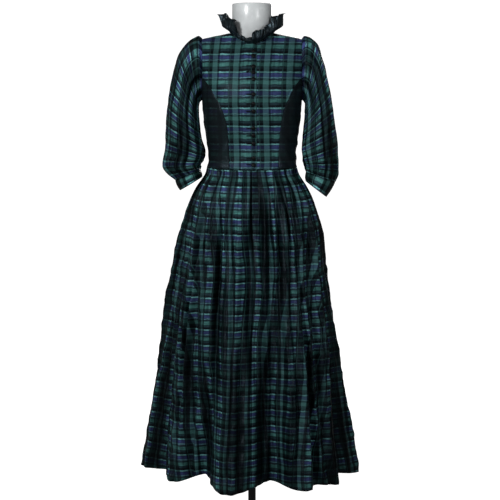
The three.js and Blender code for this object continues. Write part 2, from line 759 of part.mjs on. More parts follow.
// Neck ruffle, from the lap of the left front round the back to the right front
function neckPath() {
  const topLine = (name, count) => {
    const grid = bodiceGrids[name];
    return grid[grid.length - 1].slice(0, count + 1);
  };
  const left = topLine('bodice_front_left', neckColumns);
  const right = topLine('bodice_front_right', neckColumns).reverse();
  const backTop = topLine('bodice_back', 2 * (neckColumns + shoulderColumns));
  const back = backTop.slice(shoulderColumns, shoulderColumns + 2 * neckColumns + 1).reverse();
  return [...left, ...back.slice(1), ...right.slice(1)];
}

function addRuffle() {
  const path = neckPath();
  const angleOf = (point) => Math.atan2(point.x, -(point.y - neckCentreY)) / degree;
  const stations = [];
  for (let c = 0; c <= ruffleColumns; c += 1) {
    const angle = ruffleStart + ((ruffleEnd - ruffleStart) * c) / ruffleColumns;
    stations.push({ angle, base: pointAtAngle(path, angleOf, angle) });
  }
  const grid = ruffleRows.map((share) =>
    stations.map(({ angle, base }) => {
      const away = new THREE.Vector3(base.x, base.y - neckCentreY, 0).normalize();
      const rise = readWave(ruffleEdge, 'angle', 'rise', angle);
      const out = readWave(ruffleEdge, 'angle', 'out', angle);
      const lean = out * smoothStep(0, ruffleLean, share);
      return base.clone().add(new THREE.Vector3(0, 0, 1.5 * seamGap + rise * share)).addScaledVector(away, lean);
    }),
  );
  addPiece('neck_ruffle', wallGeometry(grid, innerGrid(grid, ruffleWall, false), false), darkCloth);
}

function pointAtAngle(path, angleOf, angle) {
  const turnOf = (point, index) => {
    const value = angleOf(point);
    return value > 0 && index > neckColumns ? value - 360 : value;
  };
  for (let i = 0; i < path.length - 1; i += 1) {
    const from = turnOf(path[i], i);
    const to = turnOf(path[i + 1], i + 1);
    if (angle <= from && angle >= to) {
      return path[i].clone().lerp(path[i + 1], (angle - from) / (to - from));
    }
  }
  return path[0].clone();
}
addRuffle();

// Covered buttons on the lap
const buttonCorners = buttonProfile.map(({ out, up }) => new THREE.Vector2(out * buttonRadius, up * buttonHeight));

function closedLathe(profile, sides) {
  const points = [];
  const faces = [];
  const ringStart = [];
  profile.forEach((corner) => {
    ringStart.push(points.length);
    const count = corner.x === 0 ? 1 : sides;
    for (let i = 0; i < count; i += 1) {
      const turn = (i / sides) * 4 * quarter;
      points.push(new THREE.Vector3(corner.x * Math.cos(turn), corner.x * Math.sin(turn), corner.y));
    }
  });
  for (let k = 0; k < profile.length - 1; k += 1) {
    for (let i = 0; i < sides; i += 1) {
      const low = (n) => ringStart[k] + (profile[k].x === 0 ? 0 : n % sides);
      const high = (n) => ringStart[k + 1] + (profile[k + 1].x === 0 ? 0 : n % sides);
      if (profile[k].x !== 0) faces.push(low(i), low(i + 1), high(i));
      if (profile[k + 1].x !== 0) faces.push(low(i + 1), high(i + 1), high(i));
    }
  }
  return closedGeometry(points, faces);
}

// Each button sits on the face of the left front that lies behind its centre.
const leftFront = dress.getObjectByName('bodice_front_left');
const lookBack = new THREE.Vector3(0, 1, 0);
buttonHeights.forEach((z, i) => {
  const ray = new THREE.Raycaster(new THREE.Vector3(buttonX, -2 * baseRadius, z), lookBack);
  const seat = ray.intersectObject(leftFront)[0];
  const button = new THREE.Mesh(closedLathe(buttonCorners, buttonSides), buttonCloth);
  button.name = `button_${i + 1}`;
  button.quaternion.setFromUnitVectors(new THREE.Vector3(0, 0, 1), seat.face.normal);
  button.position.copy(seat.point).addScaledVector(seat.face.normal, buttonGap);
  dress.add(button);
});

// Dress form: a torso cut off below the hips, joined to a neck with a flat top
function toSolid(geometry) {
  const mesh = new wasm.Mesh({
    numProp: 3,
    vertProperties: new Float32Array(geometry.getAttribute('position').array),
    triVerts: new Uint32Array(geometry.getIndex().array),
  });
  return new wasm.Manifold(mesh);
}

function fromSolid(solid) {
  const mesh = solid.getMesh();
  const geometry = new THREE.BufferGeometry();
  geometry.setAttribute('position', new THREE.Float32BufferAttribute(mesh.vertProperties, 3));
  geometry.setIndex(Array.from(mesh.triVerts));
  return geometry;
}

// Closes a stack of rings of the same number of points. Each end is closed by strips from front to back.
function closedStack(rings) {
  const sides = rings[0].length;
  const points = rings.flat();
  const faces = [];
  for (let r = 0; r < rings.length - 1; r += 1) {
    for (let i = 0; i < sides; i += 1) {
      const [a, b] = [r * sides + i, r * sides + ((i + 1) % sides)];
      faces.push(a, b, b + sides, a, b + sides, a + sides);
    }
  }
  const top = (rings.length - 1) * sides;
  const behind = (i) => (sides * 1.5 - 1 - i) % sides;
  for (let i = sides / 4; i < 0.75 * sides - 1; i += 1) {
    const [a, b, c, d] = [i, i + 1, behind(i + 1), behind(i)];
    faces.push(b, a, c, c, a, d);
    faces.push(top + a, top + b, top + c, top + a, top + c, top + d);
  }
  return closedGeometry(points, faces);
}

function formRing(level) {
  const ring = [];
  for (let i = 0; i < formColumns; i += 1) {
    const angle = ((i + 0.5) / formColumns) * 4 * quarter - 2 * quarter;
    const shoulderGap = Math.cos(angle) > 0 ? formGaps.frontShoulder : formGaps.backShoulder;
    const under = THREE.MathUtils.lerp(formGaps.body, shoulderGap, smoothStep(...chestLevels, level));
    const clear = THREE.MathUtils.lerp(under, formGaps.ridge, smoothStep(...ridgeLevels, level));
    const point = raisedPoint(new THREE.Vector2(angle, level), -clear);
    const ends = smoothStep(shoulderEndFrom, 1, Math.abs(Math.sin(angle))) * smoothStep(...pullLevels, level);
    point.x -= Math.sign(point.x) * formShoulderPull * ends;
    ring.push(point);
  }
  return ring;
}

function addForm() {
  const hips = formSections.map((section) => {
    const sizes = { left: section.side, right: section.side, front: section.front, back: section.back };
    const ring = [];
    for (let i = 0; i < formColumns; i += 1) {
      const place = bodyRing(sizes, ((i + 0.5) / formColumns) * 360 - 180);
      ring.push(new THREE.Vector3(place.x, place.y, section.z));
    }
    return ring;
  });
  const torso = closedStack([...hips, ...formLevels.map(formRing)]);
  const neckRings = [neckFootZ, neckTopZ].map((z) => {
    const ring = [];
    for (let i = 0; i < neckSides; i += 1) {
      const turn = ((i + 0.5) / neckSides) * 4 * quarter;
      const y = neckCentreY - neckDepth * Math.cos(turn);
      ring.push(new THREE.Vector3(neckRadius * Math.sin(turn), y, z));
    }
    return ring;
  });
  const joined = toSolid(torso).add(toSolid(closedStack(neckRings)));
  addPiece('dress_form', fromSolid(joined), formPaint);
}
addForm();

const poleTopZ = formSections[0].z + standLift - seamGap;
const poleFootZ = socketTopZ + seamGap;
const pole = [
  new THREE.Vector2(0, poleFootZ),
  new THREE.Vector2(poleRadius, poleFootZ),
  new THREE.Vector2(poleRadius, poleTopZ),
  new THREE.Vector2(0, poleTopZ),
];
addPiece('stand_pole', closedLathe(pole, poleSides), standMetal, stand);

const baseCorners = baseProfile.map(({ out, up }) => new THREE.Vector2(out, up));
addPiece('stand_base', closedLathe(baseCorners, baseSides), standMetal, stand);

dress.position.z = standLift;
const whole = new THREE.Group();
whole.add(dress, stand);

export default whole;
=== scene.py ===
import bpy
import bmesh
import math
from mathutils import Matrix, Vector, noise


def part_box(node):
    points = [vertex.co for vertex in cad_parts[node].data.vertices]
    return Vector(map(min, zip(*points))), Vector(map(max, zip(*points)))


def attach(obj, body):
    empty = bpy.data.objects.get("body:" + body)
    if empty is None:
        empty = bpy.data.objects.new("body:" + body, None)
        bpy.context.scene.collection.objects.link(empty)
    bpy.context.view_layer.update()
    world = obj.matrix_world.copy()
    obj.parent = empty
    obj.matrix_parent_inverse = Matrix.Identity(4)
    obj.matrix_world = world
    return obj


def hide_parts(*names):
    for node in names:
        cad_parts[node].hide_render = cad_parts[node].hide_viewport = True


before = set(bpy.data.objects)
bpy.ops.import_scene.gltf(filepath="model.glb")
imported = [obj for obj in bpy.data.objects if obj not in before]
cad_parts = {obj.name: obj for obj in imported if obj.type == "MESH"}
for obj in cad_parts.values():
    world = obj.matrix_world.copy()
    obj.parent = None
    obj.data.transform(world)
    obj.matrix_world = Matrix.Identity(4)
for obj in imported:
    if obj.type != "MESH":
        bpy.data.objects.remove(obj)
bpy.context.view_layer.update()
scene = bpy.context.scene
scene.view_settings.view_transform = "Standard"
print("frame loaded")

# The shape code works in millimetres, from a zero that lies standLift above the floor.
# toMetres gives the frame's metres.
mm = 0.001
standLift = 50
wall = 1.6
quarter = math.pi / 2
fullTurn = 2 * math.pi
degree = math.pi / 180


def toMetres(point):
    return Vector((point.x, point.y, point.z + standLift)) * mm


# Camera
cameraSettings = {"place": (-0.0057, -4.7, 1.181), "pitch": 4.85, "lens": 118.8}
cameraData = bpy.data.cameras.new("camera")
cameraData.lens = cameraSettings["lens"]
cameraData.sensor_width = 36
camera = bpy.data.objects.new("camera", cameraData)
camera.location = cameraSettings["place"]
camera.rotation_euler = (math.radians(90 - cameraSettings["pitch"]), 0, 0)
scene.collection.objects.link(camera)
scene.camera = camera


# Reading tables
def smoothStep(low, high, at):
    t = min(1, max(0, (at - low) / (high - low)))
    return t * t * (3 - 2 * t)


def mix(a, b, t):
    return a + (b - a) * t


def readTable(table, key, name, at):
    last = len(table) - 1
    if at <= table[0][key]:
        return table[0][name]
    if at >= table[last][key]:
        return table[last][name]
    row = 0
    while at > table[row + 1][key]:
        row += 1

    def slopeAt(i):
        before = table[max(0, i - 1)]
        after = table[min(last, i + 1)]
        return (after[name] - before[name]) / (after[key] - before[key])

    span = table[row + 1][key] - table[row][key]
    t = (at - table[row][key]) / span
    ease = t * t * (3 - 2 * t)
    start = t * (1 - t) * (1 - t) * span * slopeAt(row)
    end = t * t * (t - 1) * span * slopeAt(row + 1)
    return table[row][name] * (1 - ease) + table[row + 1][name] * ease + start + end


def readWave(table, key, name, at):
    row = 0
    while row < len(table) - 2 and at > table[row + 1][key]:
        row += 1
    t = (at - table[row][key]) / (table[row + 1][key] - table[row][key])
    ease = (1 - math.cos(math.pi * min(1, max(0, t)))) / 2
    return table[row][name] * (1 - ease) + table[row + 1][name] * ease


def rows(names, values):
    return [dict(zip(names, line)) for line in values]


def soft(x, y, seed):
    return noise.noise(Vector((x, y, seed)))


def around(turn, fine, along, seed):
    return noise.noise(Vector((fine * math.cos(turn), fine * math.sin(turn), along + seed)))


# Shader maths: each one wraps a socket
class Value:
    def __init__(self, tree, socket):
        self.tree = tree
        self.socket = socket

    def put(self, socket, other):
        if isinstance(other, Value):
            self.tree.links.new(other.socket, socket)
        else:
            socket.default_value = other

    def math(self, kind, *others):
        node = self.tree.nodes.new("ShaderNodeMath")
        node.operation = kind
        self.tree.links.new(self.socket, node.inputs[0])
        for i, other in enumerate(others):
            self.put(node.inputs[i + 1], other)
        return Value(self.tree, node.outputs[0])

    def __add__(self, other):
        return self.math("ADD", other)

    def __sub__(self, other):
        return self.math("SUBTRACT", other)

    def __mul__(self, other):
        return self.math("MULTIPLY", other)

    def __truediv__(self, other):
        return self.math("DIVIDE", other)

    def __rsub__(self, other):
        return self.math("MULTIPLY", -1.0).math("ADD", other)

    def above(self, floor):
        return self * (1 - floor) + floor

    def step(self, low, high):
        node = self.tree.nodes.new("ShaderNodeMapRange")
        node.interpolation_type = "SMOOTHSTEP"
        self.tree.links.new(self.socket, node.inputs["Value"])
        node.inputs["From Min"].default_value = low
        node.inputs["From Max"].default_value = high
        return Value(self.tree, node.outputs["Result"])

    def within(self, repeat, low, high, edge=0.7):
        place = (self / repeat).math("FRACT") * repeat
        return place.step(low - edge, low + edge) * (1 - place.step(high - edge, high + edge))

    def tint(self, low, high):
        node = self.tree.nodes.new("ShaderNodeMix")
        node.data_type = "RGBA"
        self.tree.links.new(self.socket, node.inputs[0])
        for socket, colour in ((node.inputs[6], low), (node.inputs[7], high)):
            self.put(socket, colour if isinstance(colour, Value) else (*colour, 1))
        return Value(self.tree, node.outputs[2])

    def shade(self, factor):
        node = self.tree.nodes.new("ShaderNodeVectorMath")
        node.operation = "SCALE"
        self.tree.links.new(self.socket, node.inputs[0])
        self.put(node.inputs["Scale"], factor)
        return Value(self.tree, node.outputs[0])


def nodeOf(tree, kind, **inputs):
    node = tree.nodes.new("ShaderNode" + kind)
    for name, value in inputs.items():
        socket = node.inputs[name.replace("_", " ")]
        if isinstance(value, Value):
            tree.links.new(value.socket, socket)
        else:
            socket.default_value = value
    return node


def newMaterial(name, roughness, **constants):
    material = bpy.data.materials.new(name)
    material.use_nodes = True
    tree = material.node_tree
    shader = tree.nodes["Principled BSDF"]
    shader.inputs["Roughness"].default_value = roughness
    for key, value in constants.items():
        shader.inputs[key.replace("_", " ")].default_value = value
    return material, tree, shader


def noiseOf(tree, place, scale, detail=2.0, stretch=None):
    if stretch:
        mapped = nodeOf(tree, "Mapping", Vector=place)
        mapped.inputs["Scale"].default_value = stretch
        place = Value(tree, mapped.outputs[0])
    node = nodeOf(tree, "TexNoise", Vector=place, Scale=scale, Detail=detail)
    return Value(tree, node.outputs[0])


# Fills the colour, roughness and bump of a material from three values
def linkSurface(tree, shader, colour, rough, height, strength, depth):
    tree.links.new(colour.socket, shader.inputs["Base Color"])
    tree.links.new(rough.socket, shader.inputs["Roughness"])
    bump = nodeOf(tree, "Bump", Height=height, Strength=strength, Distance=depth)
    tree.links.new(bump.outputs[0], shader.inputs["Normal"])


# Plaid: places in millimetres along the warp and weft repeats, colours as the light cloth shows them
wideBars = {"bars": (0.6, 29.0), "line": (30.5, 32.0), "column": (42.0, 57.0)}
plaidSettings = {
    "warpRepeat": 62.0,
    "weftRepeat": 50.0,
    "base": (0.0044, 0.0068, 0.0095),
    "weft": [
        (0.4, 4.4, (0.095, 0.25, 0.26)),
        (5.6, 15.6, (0.024, 0.034, 0.098)),
        (16.4, 19.6, (0.062, 0.145, 0.18)),
        (20.6, 24.4, (0.012, 0.026, 0.034)),
        (25.4, 36.2, (0.038, 0.118, 0.112)),
        (37.2, 43.6, (0.012, 0.027, 0.034)),
    ],
    "plain": {**wideBars, "fold": 0, "ground": 0.24, "dim": 0, "green": 0.7},
    # The folded style narrows the bars for the gathered cloth and adds painted fold shade
    "folded": {
        "bars": (0.6, 22.5), "line": (26.5, 28.0), "column": (43.0, 54.0),
        "fold": 0.86, "ground": 0.12, "dim": 0, "green": 0.42,
    },
    # The dark style is painted shade: a dimmed copy of the plaid for the side panels and the ruffle
    "dark": {**wideBars, "fold": 0, "ground": 0.18, "dim": 0.3, "green": 0.5},
    "dimTone": (0.0066, 0.0092, 0.0112),
    "glossTint": (0.6, 0.8, 0.95, 1),
    "warpGreen": (0.028, 0.075, 0.075),
}
# Noise on the cloth: scale, detail and stretch; the fold noise paints fold shade
weaveNoise = {
    "drift": (38.0, 2.0, None), "blotch": (14.0, 2.0, None),
    "wobble": (160.0, 2.0, (1.0, 0.35, 1.0)), "shift": (120.0, 2.0, (0.6, 1.6, 1.0)),
    "slub": (90.0, 3.0, (0.5, 2.2, 1.0)), "streak": (75.0, 3.0, (1.5, 0.16, 1.0)),
    "thread": (900.0, 1.0, (0.3, 2.0, 1.0)), "grain": (210.0, 3.0, (0.7, 1.5, 1.0)),
    "fold": (8.5, 3.0, (2.4, 0.22, 1.0)),
}
weaveSettings = {
    "warpDrift": 3.0, "weftDrift": 2.4, "warpWobble": 1.6, "weftShift": 5.0, "lineEdge": 0.5,
    "slubEdges": (0.25, 0.72), "slubFloor": 0.4, "streakEdges": (0.32, 0.56), "streakFloor": 0.4,
    "lineShare": 0.4, "columnShare": 0.3, "foldShadeEdges": (0.40, 0.58),
    "threadGain": 0.7, "threadFloor": 0.65, "blotchGain": 1.1, "blotchFloor": 0.45,
    "paintedWaistLight": 1.75, "paintedLightLoss": 0.75, "paintedLightLength": 520.0, "slubGloss": 0.12, "roughShift": 0.06,
    "threadHeight": 0.12, "grainHeight": 0.9, "slubHeight": 0.3, "bump": 0.55, "bumpDepth": 0.0012,
}


def plaidMaterial(name, light, roughness, style="plain", gloss=0.1):
    s = plaidSettings
    w = weaveSettings
    look = s[style]
    material, tree, shader = newMaterial(
        name, roughness, Specular_IOR_Level=gloss, Specular_Tint=s["glossTint"],
    )
    uv = Value(tree, nodeOf(tree, "UVMap").outputs[0])

    def cloud(kind):
        return noiseOf(tree, uv, *weaveNoise[kind])

    parts = nodeOf(tree, "SeparateXYZ", Vector=uv)
    across = Value(tree, parts.outputs[0]) * (1 / mm)
    along = Value(tree, parts.outputs[1]) * (1 / mm)
    drift = cloud("drift") - 0.5
    warp = across + drift * w["warpDrift"] + (cloud("wobble") - 0.5) * w["warpWobble"]
    weft = along + drift * w["weftDrift"] + (cloud("shift") - 0.5) * w["weftShift"]
    colour = s["base"]
    for low, high, tone in s["weft"]:
        colour = weft.within(s["weftRepeat"], low, high).tint(colour, tone)
    bars = warp.within(s["warpRepeat"], *look["bars"])
    column = warp.within(s["warpRepeat"], *look["column"])
    line = warp.within(s["warpRepeat"], *look["line"], edge=w["lineEdge"])
    slub = cloud("slub").step(*w["slubEdges"])
    streak = cloud("streak").step(*w["streakEdges"]).above(w["streakFloor"])
    ground = colour.shade(look["ground"])
    woven = (column * look["green"] + line * w["lineShare"]).tint(ground, s["warpGreen"])
    woven = (column * w["columnShare"]).tint(woven, colour)
    woven = (bars * slub.above(w["slubFloor"]) * streak).tint(woven, colour)
    thread = cloud("thread")
    # Large soft random patches make the cloth lighter and darker
    blotch = cloud("blotch")
    uneven = (thread * w["threadGain"] + w["threadFloor"]) * (blotch * w["blotchGain"] + w["blotchFloor"])
    # light scales each copy of the cloth brighter or darker: painted light and shade, not a change of
    # cloth
    woven = woven.shade(uneven * light)
    # Painted fold shade: long soft dark strips down the skirt and sleeves stand in for the shadows in
    # the folds
    if look["fold"]:
        fold = cloud("fold").step(*w["foldShadeEdges"]).above(1 - look["fold"])
        # Painted light: the folded cloth is painted brighter at its top, falling off over its first 520
        # mm
        paintedLightFalloff = along.step(0.0, w["paintedLightLength"]) * -w["paintedLightLoss"] + w["paintedWaistLight"]
        woven = woven.shade(fold * paintedLightFalloff)
    # Dark copies are pulled in patches towards a flat dim tone: more painted shade
    if look["dim"]:
        woven = (blotch * look["dim"]).tint(s["dimTone"], woven)
    rough = slub * -w["slubGloss"] + (roughness + w["roughShift"])
    height = thread * w["threadHeight"] + cloud("grain") * w["grainHeight"] + slub * w["slubHeight"]
    linkSurface(tree, shader, woven, rough, height, w["bump"], w["bumpDepth"])
    return material


# One plaid in lit and shaded copies: the light numbers paint the bodice and sleeves bright, the skirt
# less, the side panels and ruffle darkest
plaidCloth = plaidMaterial("plaid_cloth", 1.9, 0.42)
skirtCloth = plaidMaterial("plaid_skirt", 1.45, 0.42, style="folded")
sleeveCloth = plaidMaterial("plaid_sleeve", 2.0, 0.42, style="folded")
shadedPlaidCloth = plaidMaterial("dark_cloth", 0.8, 0.4, style="dark", gloss=0.2)
ruffleCloth = plaidMaterial("ruffle_cloth", 0.9, 0.34, style="dark", gloss=0.45)
grainSettings = {"detail": 3.0, "darker": 0.82, "edges": (0.3, 0.7), "rough": 0.12, "bump": 0.3}


def grainMaterial(name, colour, roughness, grain, depth, **constants):
    s = grainSettings
    material, tree, shader = newMaterial(name, roughness, **constants)
    place = Value(tree, nodeOf(tree, "TexCoord").outputs["Object"])
    cloud = noiseOf(tree, place, grain, detail=s["detail"])
    dark = tuple(c * s["darker"] for c in colour)
    tone = cloud.step(*s["edges"]).tint(dark, colour)
    rough = cloud * s["rough"] + (roughness - s["rough"] / 2)
    linkSurface(tree, shader, tone, rough, cloud, s["bump"], depth)
    return material


buttonCloth = grainMaterial(
    "button_cloth", (0.003, 0.004, 0.005), 0.45, 900.0, 0.0004, Specular_IOR_Level=0.15,
)
threadCloth = grainMaterial(
    "thread", (0.003, 0.004, 0.006), 0.6, 1500.0, 0.0005, Specular_IOR_Level=0.1,
)
formPaint = grainMaterial(
    "form_paint", (0.84, 0.88, 0.89), 0.26, 24.0, 0.0002, Coat_Weight=0.25, Coat_Roughness=0.08,
)
standMetal = grainMaterial("stand_metal", (0.012, 0.012, 0.013), 0.38, 60.0, 0.0001)
print("materials made")


# Surface of the bodice: angle from the centre front, level -1 at the waist, 0 at the underarm,
# 1 on the shoulder
bodiceShape = {
    "waist": 971, "dip": 8, "underarm": 1165, "neckSide": 1348, "neckHalf": 61,
    "slope": 0.207, "shoulderEnd": 153.6, "square": 0.87, "dome": 2.6, "domeChange": 0.4,
    "neckFront": 0.627, "neckBack": 0.6, "princessX": 140, "princessTop": 1222, "princessJoin": 0.9,
}
bodiceSections = rows(("z", "side", "front", "back"), [
    (940, 133, 103, 101), (971, 128, 99, 97), (988, 124, 96, 92), (1040, 129, 101, 90),
    (1088, 136, 111, 92), (1130, 140, 121, 96), (1165, 143, 125, 99), (1200, 147, 122, 100),
    (1250, 149, 112, 98), (1300, 151, 103, 94), (1350, 154, 98, 90),
])
frontSeams = rows(("z", "left", "right"), [
    (950, 63, 73), (1010, 64, 75), (1060, 67, 78), (1110, 74, 84),
    (1145, 87, 92), (1180, 105, 105), (1205, 124, 124), (1222, 142, 142),
])
backSeams = rows(("z", "left", "right"), [
    (950, 60, 60), (1010, 62, 62), (1060, 66, 66), (1110, 76, 76),
    (1160, 97, 97), (1200, 124, 124), (1222, 142, 142),
])
armholeEdge = rows(("level", "front", "back"), [
    (-0.02, 90, 90), (0.01, 82, 82.5), (0.05, 76.5, 78), (0.12, 72.5, 75),
    (0.3, 70, 73), (0.6, 68, 70), (1, 67, 67),
])


def sectionAt(table, z):
    return {name: readTable(table, "z", name, z) for name in table[0] if name != "z"}


def signPower(value, power):
    return math.copysign(abs(value) ** power, value)


def shoulderZ(angle):
    s = bodiceShape
    x = s["shoulderEnd"] * abs(math.sin(angle)) ** s["square"]
    return s["neckSide"] - max(0, x - s["neckHalf"]) * s["slope"]


def domePower(angle):
    return 2 / (bodiceShape["dome"] - bodiceShape["domeChange"] * math.cos(angle))


def bodyPoint(angle, level):
    s = bodiceShape
    face = "front" if math.cos(angle) >= 0 else "back"
    z = s["underarm"] + level * (s["underarm"] - s["waist"])
    closing = 1
    if level > 0:
        power = domePower(angle)
        z = s["underarm"] + (shoulderZ(angle) - s["underarm"]) * math.sin(level * quarter) ** power
        closing = signPower(math.cos(level * quarter), power)
    x = readTable(bodiceSections, "z", "side", z) * signPower(math.sin(angle), s["square"])
    y = -readTable(bodiceSections, "z", face, z) * signPower(math.cos(angle), s["square"]) * closing
    return Vector((x, y, z))


def bodyNormal(angle, level):
    step = 0.02
    across = bodyPoint(angle + step, level) - bodyPoint(angle - step, level)
    up = bodyPoint(angle, level + step) - bodyPoint(angle, level - step)
    return across.cross(up).normalized()


def bodySpot(x, z, face):
    s = bodiceShape
    share = min(1, abs(x) / readTable(bodiceSections, "z", "side", z))
    fromCentre = math.asin(share ** (1 / s["square"]))
    angle = fromCentre if face == "front" else math.pi - fromCentre
    level = (z - s["underarm"]) / (s["underarm"] - s["waist"])
    if z > s["underarm"]:
        rise = min(1, (z - s["underarm"]) / (shoulderZ(angle) - s["underarm"]))
        level = math.asin(rise ** (1 / domePower(angle))) / quarter
    return Vector((math.copysign(angle, x), level))


def waistLevel(angle):
    s = bodiceShape
    return -1 - s["dip"] / (s["underarm"] - s["waist"]) * max(0, math.cos(angle))


def armholeSpot(face, level):
    fromFace = readTable(armholeEdge, "level", face, level) * degree
    return Vector((fromFace if face == "front" else math.pi - fromFace, level))


def neckSpot(turn, face):
    s = bodiceShape
    x = s["neckHalf"] * math.sin(turn)
    share = s["neckFront"] if face == "front" else s["neckBack"]
    fromCentre = math.asin((abs(x) / s["shoulderEnd"]) ** (1 / s["square"]))
    angle = fromCentre if face == "front" else math.pi - fromCentre
    level = math.acos((share * abs(math.cos(turn))) ** (1 / domePower(angle))) / quarter
    return Vector((math.copysign(angle, x), level))


def spread(curve, count, steps=160):
    spots = [curve(i / steps) for i in range(steps + 1)]
    points = [bodyPoint(spot.x, spot.y) for spot in spots]
    lengths = [0]
    for i in range(steps):
        lengths.append(lengths[i] + (points[i + 1] - points[i]).length)
    result = []
    k = 0
    for i in range(count + 1):
        at = lengths[steps] * i / count
        while k < steps - 1 and lengths[k + 1] < at:
            k += 1
        t = (at - lengths[k]) / ((lengths[k + 1] - lengths[k]) or 1)
        result.append(spots[k].lerp(spots[k + 1], t))
    return result


# Evens out the inside of a patch, so that it doesn't fold over beside the bend of its outline
def evenOut(grid, turns=220):
    for turn in range(turns):
        for r in range(1, len(grid) - 1):
            below, line, above = grid[r - 1], grid[r], grid[r + 1]
            for c in range(1, len(line) - 1):
                line[c] = (below[c] + above[c] + line[c - 1] + line[c + 1]) / 4
    return grid


def fillPatch(bottom, top, left, right):
    columns = len(bottom) - 1
    count = len(left) - 1
    grid = []
    for r in range(count + 1):
        v = r / count
        line = []
        for c in range(columns + 1):
            u = c / columns
            spot = bottom[c] * (1 - v) + top[c] * v + left[r] * (1 - u) + right[r] * u
            spot -= bottom[0] * ((1 - u) * (1 - v)) + bottom[columns] * (u * (1 - v))
            spot -= top[0] * ((1 - u) * v) + top[columns] * (u * v)
            line.append(spot)
        grid.append(line)
    return evenOut(grid)


def fromAxis(point):
    return Vector((point.x, point.y, 0))


# Builds a sheet of cloth from a grid of points; flatPlace gives the UV map, a place on the flat cloth.
# awayFrom gives the direction out of the garment, so that the cloth's face looks outward.
def makeSheet(node, grid, flatPlace, material, thickness=1.1, closed=False, awayFrom=fromAxis):
    name = node + "_cloth"
    mesh = bpy.data.meshes.new(name)
    work = bmesh.new()
    lines = [[work.verts.new(toMetres(point)) for point in line] for line in grid]
    uvLayer = work.loops.layers.uv.new("UVMap")
    columns = len(grid[0])
    lastColumn = columns if closed else columns - 1
    for r in range(len(grid) - 1):
        for c in range(lastColumn):
            n = (c + 1) % columns
            face = work.faces.new((lines[r][c], lines[r][n], lines[r + 1][n], lines[r + 1][c]))
            face.smooth = True
            places = [(r, c), (r, c + 1), (r + 1, c + 1), (r + 1, c)]
            for loop, (pr, pc) in zip(face.loops, places):
                u, v = flatPlace(pr, pc)
                loop[uvLayer].uv = (u * mm, v * mm)
    bmesh.ops.recalc_face_normals(work, faces=work.faces)
    outside = sum(face.normal.dot(awayFrom(face.calc_center_median())) for face in work.faces)
    if outside < 0:
        bmesh.ops.reverse_faces(work, faces=work.faces)
    work.to_mesh(mesh)
    work.free()
    piece = bpy.data.objects.new(name, mesh)
    scene.collection.objects.link(piece)
    piece.data.materials.append(material)
    solid = piece.modifiers.new("thickness", "SOLIDIFY")
    solid.thickness = thickness * mm
    solid.offset = -1
    solid.use_even_offset = False
    return piece


def standOn(piece, node):
    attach(piece, "root")
    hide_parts(node)


# Bodice pieces
bodiceSettings = {
    "seamWidth": 2.4, "seamDepth": 0.8, "seamCalm": 9, "lapEdge": 13, "underLap": -5,
    "lapStart": -34, "lapFull": -14, "lapRise": wall + 1.5, "depthShare": 0.15, "weftStart": 1188,
    "warpStart": {"left": -79, "right": 6, "side": 12, "back": -31},
}
creaseSettings = {
    "sideDepth": 3.0, "depth": 0.9, "slantX": 0.75, "slantY": 0.3, "wide": (26, 60, 3.1),
    "fine": (12, 40, 8.7), "fineShare": 0.5, "pull": 1.1, "pullFrom": 1050, "pullFull": 985,
}
princessLevel = {
    face: bodySpot(bodiceShape["princessX"], bodiceShape["princessTop"], face).y
    for face in ("front", "back")
}
lowerRows = 34
upperRows = 30
sideColumns = 25
neckColumns = 20
shoulderColumns = 20


def armholeUpper(face, count=upperRows):
    start = princessLevel[face]
    return spread(lambda t: armholeSpot(face, start + (1 - start) * t), count)


def armholeLower(face, count=sideColumns):
    start = armholeEdge[0]["level"]
    end = princessLevel[face]
    return spread(lambda t: armholeSpot(face, start + (end - start) * t * t), count)


def princessSeam(face, side):
    s = bodiceShape
    table = frontSeams if face == "front" else backSeams
    top = armholeSpot(face, princessLevel[face])

    def seam(t):
        z = s["waist"] + (s["princessTop"] - s["waist"]) * t
        spot = bodySpot(readTable(table, "z", side, z), z, face)
        if t == 0:
            return Vector((spot.x, waistLevel(spot.x)))
        return spot.lerp(top, smoothStep(s["princessJoin"], 1, t))

    return spread(seam, lowerRows)


def waistLine(fromAngle, toAngle, columns):
    def line(t):
        angle = mix(fromAngle, toAngle, t)
        return Vector((angle, waistLevel(angle)))

    return spread(line, columns)


def neckAndShoulder(startTurn, face):
    neck = spread(lambda t: neckSpot(mix(startTurn, quarter, t), face), neckColumns)
    inner = neck[-1]
    outer = armholeSpot(face, 1)
    shoulder = spread(lambda t: Vector((mix(inner.x, outer.x, t), 1)), shoulderColumns)
    return neck + shoulder[1:]


def frontEdge(x, turn):
    top = neckSpot(turn, "front")
    topZ = bodyPoint(top.x, top.y).z
    bottomZ = bodiceShape["waist"] - bodiceShape["dip"]
    bottom = bodySpot(x, bottomZ, "front")
    bottom.y = waistLevel(bottom.x)

    def edge(t):
        return top if t == 1 else bodySpot(x, mix(bottomZ, topZ, t), "front")

    spots = spread(edge, lowerRows + upperRows)
    spots[0] = bottom
    return spots


# The front left piece rises over the right one, up to its edge
def lapLift(x):
    s = bodiceSettings
    return s["lapRise"] * smoothStep(s["lapStart"], s["lapFull"], x)


# Soft creases of the bodice: gentle pulls from the bust to the waist, deeper on the side panels
def bodiceCrease(point, side):
    s = creaseSettings
    slant = point.z + s["slantX"] * abs(point.x) + s["slantY"] * point.y
    wide, wideX, wideSeed = s["wide"]
    fine, fineY, fineSeed = s["fine"]
    fold = soft(slant / wide, point.x / wideX, wideSeed)
    fold += s["fineShare"] * soft(slant / fine, point.y / fineY, fineSeed)
    waistPull = 1 + s["pull"] * smoothStep(s["pullFrom"], s["pullFull"], point.z)
    return (s["sideDepth"] if side else s["depth"]) * fold * waistPull


